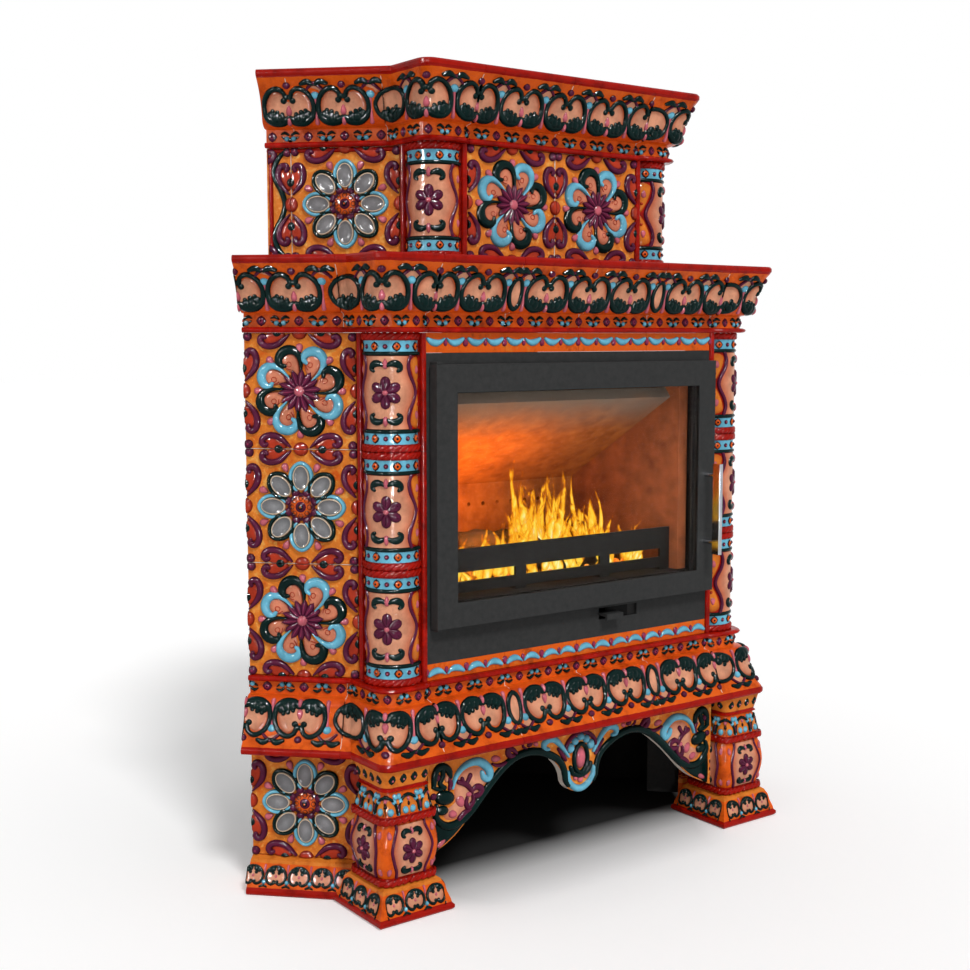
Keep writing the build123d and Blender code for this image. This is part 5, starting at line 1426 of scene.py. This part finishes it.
class STOVE_OT_cornices(bpy.types.Operator):
    """Model the rings, stems and band flowers of the three cornices, and the friezes."""
    bl_idname = "stove.cornices"
    bl_label = "Cornices and friezes"

    def execute(self, context):
        build("relief_ledge", cornice_parts(LOWER, LEDGE_Z, True, 4))
        build("relief_cornice", cornice_parts(LOWER, CORNICE_Z, False, 4))
        build("relief_crown", cornice_parts(UPPER, CROWN_Z, False, 2))
        parts = []
        for z, turn in ((1069, 0), (441, 180)):
            leaves = Relief()
            row(leaves, Relief().merge(frieze_leaves(), turn=turn), 8, 93.0)
            parts.append((leaves, Flat(0, 0, z, (1, 0))))
        build("relief_friezes", parts)
        return {"FINISHED"}


class STOVE_OT_base(bpy.types.Operator):
    """Model the feet, shafts and capitals of the pedestals, the plinths and the apron."""
    bl_idname = "stove.base"
    bl_label = "Pedestals and apron"

    def execute(self, context):
        foot = np.array([(83.5, 14), (78, 21.1), (73.05, 34.4), (69.75, 48.7), (63.7, 59.9), (56, 65)])
        plinth = np.array([(49, 14), (39.2, 21.1), (30.4, 34.4), (24.5, 48.7), (13.7, 59.9), (0, 65)])
        share = np.linspace(0, 1, 9)
        shaft = np.stack([56 + 9 * np.sin(np.pi * share), 79 + 103 * share], 1)
        capital = np.array([(56, 196), (52, 218), (48, 240)])
        collar = np.array([(49, 250), (54, 268), (58, 284)])
        ring, ball, panel = small_apple(), small_ball(), shaft_panel()
        head = capital_front().clip((-49, 0), (49, 60))
        feet = Relief()
        for s in (-47, 0, 47):
            feet.merge(ring, s)
        for s in (-70.5, -23.5, 23.5, 70.5):
            feet.merge(ball, s)
        feet = feet.clip((-64, 0), (64, 90))
        neck = Relief()
        for s in (-36, -12, 12, 36):
            neck.field([(s - 8.5, 16), (s, 27), (s + 8.5, 16), (s, 5)], "green", 3.6, fine=2)
            neck.dome((s, 16), (2.8, 3.4), "pink", 5.0, rings=3, around=8)
        parts = []
        half = 59.5
        around = 8 * (half - PEDESTAL_CORNER) + 2 * math.pi * PEDESTAL_CORNER
        for x in (-PEDESTAL_X, PEDESTAL_X):
            for face in (0, 1, 3):
                outline = straight(x, PEDESTAL_Y, cos_sin(90 * face), FOOT_LIMIT)
                parts.append((feet, Profile(foot, outline, 0, 0)))
                for relief, line in ((panel, shaft), (head, capital), (neck, collar)):
                    outline = square(x, PEDESTAL_Y, PEDESTAL_CORNER, face)
                    parts.append((relief, Profile(line, outline, 0, 0)))
            for z in (65, 182):
                cord = Relief()
                rope(cord, 7, 0, around, 1.0)
                line = np.array([(half, z), (half, z + 14)])
                parts.append((cord, Profile(line, square(x, PEDESTAL_Y, PEDESTAL_CORNER), 0, 0)))
        build("relief_pedestals", parts)
        parts = []
        for flat, sign in ((LOWER.left(0), -1), (LOWER.right(0), 1)):
            strip = Relief()
            for s in (25, 71, 117, 163, 209):
                strip.merge(ring, sign * s, 4)
                strip.merge(ball, sign * (s + 23), 4)
            low, high = sorted((sign * 6, sign * 222))
            parts.append((strip.clip((low, 0), (high, 90)), Profile(plinth, along_face(flat), 0, 0)))
        build("relief_plinths", parts)
        build("relief_apron", [(apron_relief().clip((-378, 90), (378, 273)), Flat(0, -15, 0, (1, 0)))])
        return {"FINISHED"}


class STOVE_OT_grounds(bpy.types.Operator):
    """Glaze the plain tile bodies and mouldings."""
    bl_idname = "stove.grounds"
    bl_label = "Tile grounds"

    def execute(self, context):
        colour = glazes()
        amber, orange, red = tuple(colour.amber), tuple(colour.orange), tuple(colour.red)
        tones = (shade(orange, 0.85), amber, shade(amber, 1.12), rgb(246, 184, 92))
        ground = mottled_glaze("ground_amber", tones)
        coat("apron_tiles", mottled_glaze("ground_apron", tones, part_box("apron_tiles")[0][1] + 0.003))
        rim = mottled_glaze("ground_red", (shade(red, 0.5), shade(red, 0.8), red, shade(red, 1.5)))
        strip = mottled_glaze("ground_orange", (shade(orange, 0.55), orange, orange, amber))
        roll = rgb(216, 80, 20)
        cornice = [(0, orange), (27, roll), (45, orange), (116, red)]
        flipped = [(0, red), (15, orange), (87, roll), (105, orange)]
        foot = [(0, red), (14, orange), (54, amber), (64, red), (79, orange), (182, red), (196, orange),
                (240, red), (250, amber)]
        finishes = {
            "cornice": banded_glaze("ground_cornice", CORNICE_Z, CORNICE_H + 1, cornice),
            "crown": banded_glaze("ground_crown", CROWN_Z, CORNICE_H + 1, cornice),
            "ledge": banded_glaze("ground_ledge", LEDGE_Z, CORNICE_H + 1, flipped),
            "foot": banded_glaze("ground_foot", 0, 320, foot),
        }
        for node in ("body_side_tiles", "base_side_tiles", "upper_side_tiles", "upper_front_tiles"):
            coat(node, ground)
        for node in ("frieze_tiles_lower", "frieze_tiles_upper"):
            coat(node, strip)
        for node in ("body_column_left", "body_column_right", "upper_columns", "ledge_listel",
                     "cornice_listel", "crown_listel"):
            coat(node, rim)
        for part in ("front_tiles", "corner_left", "corner_right", "side_tiles"):
            for level in ("ledge", "cornice", "crown"):
                coat(f"{level}_{part}", finishes[level])
        for node in ("pedestal_feet", "pedestal_shafts", "pedestal_capitals", "side_plinths"):
            coat(node, finishes["foot"])
        return {"FINISHED"}


def coat(node, material):
    """Give a CAD node its finish."""
    for slot in NODES[node].material_slots:
        slot.material = material


class STOVE_OT_insert(bpy.types.Operator):
    """Finish the steel insert, its glass door and the fireclay slabs."""
    bl_idname = "stove.insert"
    bl_label = "Fire insert"

    def execute(self, context):
        charcoal = matt("charcoal_paint", rgb(42, 43, 43), rgb(50, 50, 50), 90.0, (0.45, 0.6), 0.12, 0.0004,
                        shine=0.08)
        black = matt("black_paint", rgb(18, 18, 18), rgb(27, 26, 25), 70.0, (0.5, 0.7), 0.2, 0.0005,
                     shine=0.15)
        clay = matt("fireclay_slab", rgb(112, 56, 30), rgb(152, 84, 46), 30.0, (0.8, 0.95), 0.5, 0.0012)
        ash = matt("hearth_ash", rgb(22, 20, 19), rgb(44, 40, 38), 50.0, (0.9, 1.0), 0.6, 0.001, shine=0.1)
        steel = matt("bare_steel", rgb(150, 150, 148), rgb(184, 184, 182), 40.0, (0.28, 0.42), 0.1, 0.0003,
                     1.0)
        iron = matt("cast_iron", rgb(30, 29, 28), rgb(46, 44, 42), 80.0, (0.6, 0.8), 0.5, 0.001)
        stone = matt("concrete", rgb(150, 146, 140), rgb(178, 174, 168), 18.0, (0.85, 0.98), 0.6, 0.002)
        # painted shade: the base slab, block walls and rear pier are painted near black, so that the open
        # niche under the stove reads as deep shade
        niche_shade_plaster = matt("plaster_painted_niche_shade", rgb(34, 32, 30), rgb(52, 49, 46), 24.0, (0.9, 1.0), 0.6, 0.002,
                     shine=0.1)
        rope_seal = matt("rope_seal", rgb(30, 30, 30), rgb(52, 50, 48), 240.0, (0.9, 1.0), 0.8, 0.001)
        chrome = matt("chrome_bar", rgb(150, 152, 156), rgb(184, 186, 190), 12.0, (0.08, 0.14), 0.03,
                      0.0002, 1.0)
        for finish, nodes in (
                (charcoal, ("insert_facing", "door_pan", "hinge_lugs", "hinge_pins", "hinge_bushes")),
                (black, ("firebox_shell", "firebox_floor", "ash_chamber", "air_box", "insert_stand",
                         "smoke_baffle", "glass_retainer", "flue_pipe", "log_guard")),
                (clay, ("side_linings",)), (smoked_clay(), ("back_lining", "leaning_lining")),
                (ash, ("hearth_floor",)), (steel, ("ash_pan", "catch_spring", "catch_roller")),
                (iron, ("grate",)), (stone, ("mantel_slab", "crown_slab")),
                (niche_shade_plaster, ("base_slab", "base_block_walls", "rear_pier")),
                (rope_seal, ("door_seal",)), (chrome, ("door_handle",))):
            for node in nodes:
                coat(node, finish)
        coat("door_glass", door_glass())
        coat("air_slide", slide_paint())
        return {"FINISHED"}


def smoked_clay():
    """Fireclay slab, greyed where smoke settles high under the baffle."""
    recipe = Recipe("smoked_fireclay")
    cloud = recipe.noise(30.0, 6.0, 0.65)
    body = recipe.ramp(cloud, [(0.3, rgb(124, 66, 30)), (0.7, rgb(170, 102, 46))])
    level = recipe.math("ADD", recipe.along(2), recipe.math("MULTIPLY", recipe.noise(9.0, 3.0), 0.06))
    smoke = recipe.ramp(level, [(0.90, BLACK), (0.985, WHITE)])
    recipe.set(Base_Color=recipe.mix(smoke, body, rgb(112, 100, 90)), Roughness=0.9, Specular_IOR_Level=0.2)
    recipe.bump(recipe.noise(270.0, 3.0), 0.5, 0.0012)
    return recipe.material


def slide_paint():
    """Charcoal on the tab, black on the plate that closes the slot behind the facing."""
    recipe = Recipe("slide_paint")
    behind = recipe.math("GREATER_THAN", recipe.along(1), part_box("insert_facing")[0][1] + 0.001)
    tint = recipe.ramp(recipe.noise(90.0, 4.0), [(0.3, rgb(42, 43, 43)), (0.7, rgb(50, 50, 50))])
    recipe.set(Base_Color=recipe.mix(behind, tint, rgb(6, 6, 6)), Roughness=0.55, Specular_IOR_Level=0.06)
    recipe.bump(recipe.noise(800.0, 3.0), 0.12, 0.0004)
    return recipe.material


def door_glass():
    """Clear heat-proof glass with a thin warm haze."""
    recipe = Recipe("door_glass")
    haze = recipe.noise(6.0, 4.0)
    recipe.set(Base_Color=(0.98, 0.97, 0.95), Roughness=recipe.ramp(haze, [(0.4, BLACK), (0.9, even(0.03))]),
               Transmission_Weight=1.0, IOR=1.05)
    return recipe.material


class STOVE_OT_fire(bpy.types.Operator):
    """Lay logs and embers and raise the flames over them."""
    bl_idname = "stove.fire"
    bl_label = "Fire"

    def execute(self, context):
        rng = np.random.default_rng(12)
        self.logs(rng)
        self.embers(rng)
        self.flames(rng)
        return {"FINISHED"}

    def logs(self, rng):
        """Four charred logs, each a rough round bar."""
        bark = matt("charred_bark", rgb(26, 18, 14), rgb(74, 50, 34), 40.0, (0.85, 1.0), 1.0, 0.004)
        logs = bmesh.new()
        rings, around = 16, 14
        for x, y, z, length, radius, turn in ((-95, 165, 606, 330, 34, 12), (120, 175, 606, 300, 32, -14),
                                              (10, 205, 640, 380, 30, 4), (0, 120, 600, 300, 26, -6)):
            c, s = cos_sin(turn)
            grid = []
            for i in range(rings + 1):
                t = i / rings - 0.5
                grow = radius * (1 + 0.08 * math.sin(9 * t) + 0.05 * rng.standard_normal())
                loop = []
                for k in range(around):
                    a = 2 * math.pi * k / around
                    r = grow * (1 + 0.07 * rng.standard_normal())
                    px, py, pz = t * length, r * math.cos(a), r * math.sin(a)
                    place = (x + px * c - py * s, y + FRONT_Y + px * s + py * c, z + pz)
                    loop.append(logs.verts.new([value * MM for value in place]))
                grid.append(loop)
            for i in range(rings):
                for k in range(around):
                    n = (k + 1) % around
                    logs.faces.new((grid[i][k], grid[i + 1][k], grid[i + 1][n], grid[i][n]))
            logs.faces.new(grid[0])
            logs.faces.new(grid[-1][::-1])
        mesh = bpy.data.meshes.new("fire_logs")
        logs.to_mesh(mesh)
        logs.free()
        finish_mesh("fire_logs", mesh, [bark], "stove")

    def embers(self, rng):
        """Rough lumps of coal strewn over the hearth."""
        embers = Relief()
        for _ in range(EMBERS):
            x, y = rng.uniform(-240, 240), rng.uniform(85, 270)
            r = rng.uniform(9, 22)
            embers.dome((x, y), (r, r * rng.uniform(0.6, 1.0)), "red", rng.uniform(10, 26),
                        rng.uniform(0, 180), around=7, rings=3)
        points = np.vstack(embers.points) + (0.0, FRONT_Y, HEARTH_Z)
        mesh = make_mesh("fire_embers", points * MM, np.vstack(embers.faces).tolist())
        finish_mesh("fire_embers", mesh, [glow_coal()], "stove")

    def flames(self, rng):
        """Many thin tongues, each a curved ribbon that fades at its edges."""
        points, faces, heat, veil = [], [], [], []
        tall = sizes().flame_height / MM
        rows, across = 14, 6
        for tongue in range(FLAMES):
            x, y = rng.uniform(-245, 245), rng.uniform(110, 240)
            height = tall * np.interp(x, FLAME_PLACES, FLAME_SHARES) * rng.uniform(0.4, 1.05)
            width = rng.uniform(20, 54)
            if tongue >= HIGH_FLAMES:
                x, y = rng.uniform(-245, 268), rng.uniform(84, 110)
                height, width = rng.uniform(45, 125), rng.uniform(28, 56)
            phase, sway = rng.uniform(0, 6.3), rng.uniform(14, 44)
            turn = rng.uniform(-0.9, 0.1)
            low = HEARTH_Z + 5 + rng.uniform(0, 14)
            c, s = math.cos(turn), math.sin(turn)
            first = len(points)
            for i in range(rows + 1):
                t = i / rows
                middle = x + sway * math.sin(phase + 4.5 * t) * t
                half = width / 2 * (math.sin(math.pi * min(1.0, 0.18 + 0.82 * t)) ** 0.75) * (1 - 0.35 * t)
                for k in range(across + 1):
                    w = k / across * 2 - 1
                    bulge = (1 - w * w) * half * 0.5
                    place = (middle + w * half * c + bulge * s, y + FRONT_Y + w * half * s - bulge * c,
                             low + t * height)
                    points.append([value * MM for value in place])
                    heat.append(t)
                    veil.append((1 - abs(w) ** 1.6) * min(1.0, 6 * t + 0.3) * (1 - t) ** 0.5)
            for i in range(rows):
                for k in range(across):
                    a = first + i * (across + 1) + k
                    faces.append((a, a + 1, a + across + 2, a + across + 1))
        mesh = make_mesh("fire_flames", points, faces, heat=heat, veil=veil)
        finish_mesh("fire_flames", mesh, [flame_light()], "stove")


def glow_coal():
    """Coals that glow between their dark crusts."""
    recipe = Recipe("glowing_coal")
    cells = recipe.noise(60.0, 5.0, 0.7)
    recipe.set(Base_Color=(0.04, 0.02, 0.015), Roughness=0.95,
               Emission_Color=recipe.ramp(cells, [(0.40, (0.10, 0.005, 0.0)), (0.50, (0.9, 0.14, 0.01)),
                                                  (0.64, (1.0, 0.5, 0.06))]),
               Emission_Strength=1.3)
    return recipe.material


def flame_light():
    """Tongues of light: yellow at the heart, orange at the rim, clear between."""
    recipe = Recipe("flame_light")
    place = recipe.add("ShaderNodeMapping", Vector=recipe.coords, Scale=(1.0, 1.0, 0.42))
    wisp = recipe.add("ShaderNodeTexNoise", Vector=place.outputs[0], Scale=34.0, Detail=4.0, Roughness=0.55,
                      Distortion=2.2).outputs[0]
    body = recipe.math("MULTIPLY", recipe.attribute("veil"), recipe.math("MULTIPLY", wisp, 2.0))
    cover = recipe.ramp(body, [(0.38, BLACK), (0.60, WHITE)])
    colour = recipe.ramp(body, [(0.38, (0.80, 0.13, 0.0)), (0.52, (1.0, 0.36, 0.01)),
                                (0.70, (1.0, 0.62, 0.04)), (0.88, (1.0, 0.80, 0.14)),
                                (0.99, (1.0, 0.93, 0.45))])
    light = recipe.add("ShaderNodeEmission", Color=colour, Strength=1.0)
    clear = recipe.add("ShaderNodeBsdfTransparent")
    recipe.end("ShaderNodeMixShader", cover, clear.outputs[0], light.outputs[0])
    return recipe.material


class STOVE_OT_stage(bpy.types.Operator):
    """Set up the floor, the lamps, the world and the camera."""
    bl_idname = "stove.stage"
    bl_label = "Stage"

    def execute(self, context):
        scene = context.scene
        scene.view_settings.view_transform = "Standard"
        half = sizes().floor_size / 2
        corners = [(-half, -half, 0), (half, -half, 0), (half, half, 0), (-half, half, 0)]
        floor = put("floor", make_mesh("floor", corners, [(0, 1, 2, 3)]))
        floor.data.materials.append(floor_paint())
        self.shade_boards()
        self.world(scene)
        for name, place, size, power in (
                ("gleam_key", (-3.0, -3.2, 3.2), 0.22, 620.0), ("gleam_left", (-4.0, -0.8, 2.0), 0.20, 380.0),
                ("gleam_high", (-1.2, -2.6, 4.2), 0.24, 640.0),
                ("gleam_low", (-2.4, -3.6, 0.5), 0.18, 200.0)):
            lamp = self.hang("AREA", name, place, (0, -0.1, 0.8), size=size, energy=power)
            lamp.visible_diffuse = False
            lamp.visible_transmission = False
        self.hang("SUN", "sky_light", (-0.6, -3.0, 3.6), (0, 0, 0.2), energy=1.55, angle=math.radians(12))
        self.hang("AREA", "fire_glow", (-0.12, (110 + FRONT_Y) * MM, 0.63), (-0.17, 0.1, 0.74), size=0.25,
                  energy=3.6, color=(1.0, 0.38, 0.03))
        data = bpy.data.cameras.new("camera")
        data.sensor_width = 36.0
        data.lens = FOCAL
        data.clip_end = 200.0
        camera = put("camera", data)
        camera.location = CAMERA_PLACE
        (east, north), (level, down) = cos_sin(CAMERA_HEADING), cos_sin(CAMERA_PITCH)
        camera.rotation_euler = aim(Vector((east * level, north * level, -down)))
        scene.camera = camera
        return {"FINISHED"}

    def hang(self, kind, name, place, target, **settings):
        """Hang a lamp at a place, pointed at its target."""
        data = bpy.data.lights.new(name, kind)
        for key, value in settings.items():
            setattr(data, key, value)
        lamp = put(name, data)
        lamp.location = place
        lamp.rotation_euler = aim(Vector(target) - Vector(place))
        return lamp

    def shade_boards(self):
        """Boards along the room's walls, behind the open niche in the base: they block light from behind, and
        their near-black paint is painted shade of the room corner.
        """
        near, far, foot, head = 0.56, 0.10, 0.0, 0.25
        points = []
        for side in (-1, 1):
            for x in (near, far):
                for z in (foot, head):
                    points.append((side * x, FRONT_Y * MM + BOARDS_MEET - x, z))
        boards = put("niche_backing", make_mesh("niche_backing", points, [(0, 1, 3, 2), (4, 6, 7, 5)]))
        # painted shade: near-black paint on the boards behind the niche
        boards.data.materials.append(matt("niche_shade_paint", rgb(24, 23, 22), rgb(36, 34, 33), 20.0, shine=0.0))

    def world(self, scene):
        """Plain light all round, and white where the eye, a mirror or the glass sees past the stove."""
        world = bpy.data.worlds.new("studio")
        scene.world = world
        world.use_nodes = True
        nodes, link = world.node_tree.nodes, world.node_tree.links.new
        nodes.clear()
        mixed = nodes.new("ShaderNodeMixShader")
        link(background_rays(nodes, link), mixed.inputs[0])
        for socket, strength in ((1, 0.5), (2, 1.0)):
            light = nodes.new("ShaderNodeBackground")
            light.inputs[0].default_value = (1, 1, 1, 1)
            light.inputs[1].default_value = strength
            link(light.outputs[0], mixed.inputs[socket])
        result = nodes.new("ShaderNodeOutputWorld")
        link(mixed.outputs[0], result.inputs[0])


def aim(direction):
    """Rotation that points a lamp or the camera along a direction."""
    return direction.to_track_quat("-Z", "Y").to_euler()


def background_rays(nodes, link):
    """One where a ray from the eye, a mirror or through glass arrives, else nought."""
    path = nodes.new("ShaderNodeLightPath")
    total = path.outputs["Is Camera Ray"]
    for name in ("Is Glossy Ray", "Is Transmission Ray"):
        most = nodes.new("ShaderNodeMath")
        most.operation = "MAXIMUM"
        link(total, most.inputs[0])
        link(path.outputs[name], most.inputs[1])
        total = most.outputs[0]
    return total


def floor_paint():
    """Pale floor: white to the eye out in the open, with painted shade round the stove and a painted shadow
    in the niche under it.
    """
    recipe = Recipe("floor_paint")
    back = recipe.math("SUBTRACT", recipe.along(1), FRONT_Y * MM)
    off_middle = recipe.math("ABSOLUTE", recipe.along(0))
    aside = recipe.math("SUBTRACT", off_middle, recipe.math("MULTIPLY", back, 0.6))
    # painted shadow: a mask over the floor of the niche, soft towards the front
    depth = recipe.ramp(recipe.math("ADD", back, 0.2),
                        [(0.05, BLACK), (0.20, even(0.35)), (0.32, WHITE), (0.92, WHITE), (1.0, BLACK)])
    niche = recipe.math("MULTIPLY", depth, recipe.ramp(aside, [(0.34, WHITE), (0.42, BLACK)]))
    inward = recipe.math("ADD", off_middle, back)
    niche = recipe.math("MULTIPLY", niche, recipe.ramp(inward, [(0.78, WHITE), (0.84, BLACK)]))
    # painted shadow: the floor's colour falls to near black in the niche
    recipe.set(Base_Color=recipe.mix(niche, even(0.93), even(0.03)), Roughness=1.0, Specular_IOR_Level=0.0)
    seen = background_rays(recipe.nodes, recipe.tree.links.new)
    flat = recipe.add("ShaderNodeVectorMath", Vector=recipe.coords)
    flat.operation = "LENGTH"
    away = recipe.math("MULTIPLY", flat.outputs["Value"], 0.2)
    # painted shade: less added white near the stove and none in the niche
    share = recipe.ramp(away, [(0.04, even(0.03)), (0.13, even(0.18)), (0.3, even(0.22))])
    share = recipe.math("MULTIPLY", share, recipe.math("SUBTRACT", 1.0, niche))
    light = recipe.add("ShaderNodeEmission", Color=WHITE, Strength=recipe.math("MULTIPLY", share, seen))
    recipe.end("ShaderNodeAddShader", recipe.shader.outputs[0], light.outputs[0])
    return recipe.material


# ------------------------------------------------------------------ panel and registration
class STOVE_PT_panel(bpy.types.Panel):
    """Lists the steps of the stove's finish."""
    bl_idname = "STOVE_PT_panel"
    bl_label = "Tiled Stove"
    bl_space_type = "VIEW_3D"
    bl_region_type = "UI"
    bl_category = "Tiled Stove"

    def draw(self, context):
        column = self.layout.column()
        for group in (context.scene.stove_sizes, context.scene.stove_glazes):
            for name in group.__annotations__:
                column.prop(group, name)
        for step in STEPS:
            column.operator(step.bl_idname)


STEPS = (STOVE_OT_grounds, STOVE_OT_insert, STOVE_OT_square_tiles, STOVE_OT_columns, STOVE_OT_cornices,
         STOVE_OT_base, STOVE_OT_fire, STOVE_OT_stage)
CLASSES = (StoveSizes, StoveGlazes, *STEPS, STOVE_PT_panel)


def register():
    """Make the settings, operators and panel known to Blender."""
    for item in CLASSES:
        bpy.utils.register_class(item)
    bpy.types.Scene.stove_sizes = bpy.props.PointerProperty(type=StoveSizes)
    bpy.types.Scene.stove_glazes = bpy.props.PointerProperty(type=StoveGlazes)


def unregister():
    """Take them out again."""
    del bpy.types.Scene.stove_glazes
    del bpy.types.Scene.stove_sizes
    for item in reversed(CLASSES):
        bpy.utils.unregister_class(item)


def main():
    """Finish the stove step by step."""
    register()
    bpy.ops.stove.grounds()
    bpy.ops.stove.insert()
    bpy.ops.stove.square_tiles()
    bpy.ops.stove.columns()
    bpy.ops.stove.cornices()
    bpy.ops.stove.base()
    bpy.ops.stove.fire()
    bpy.ops.stove.stage()


if __name__ == "__main__":
    main()
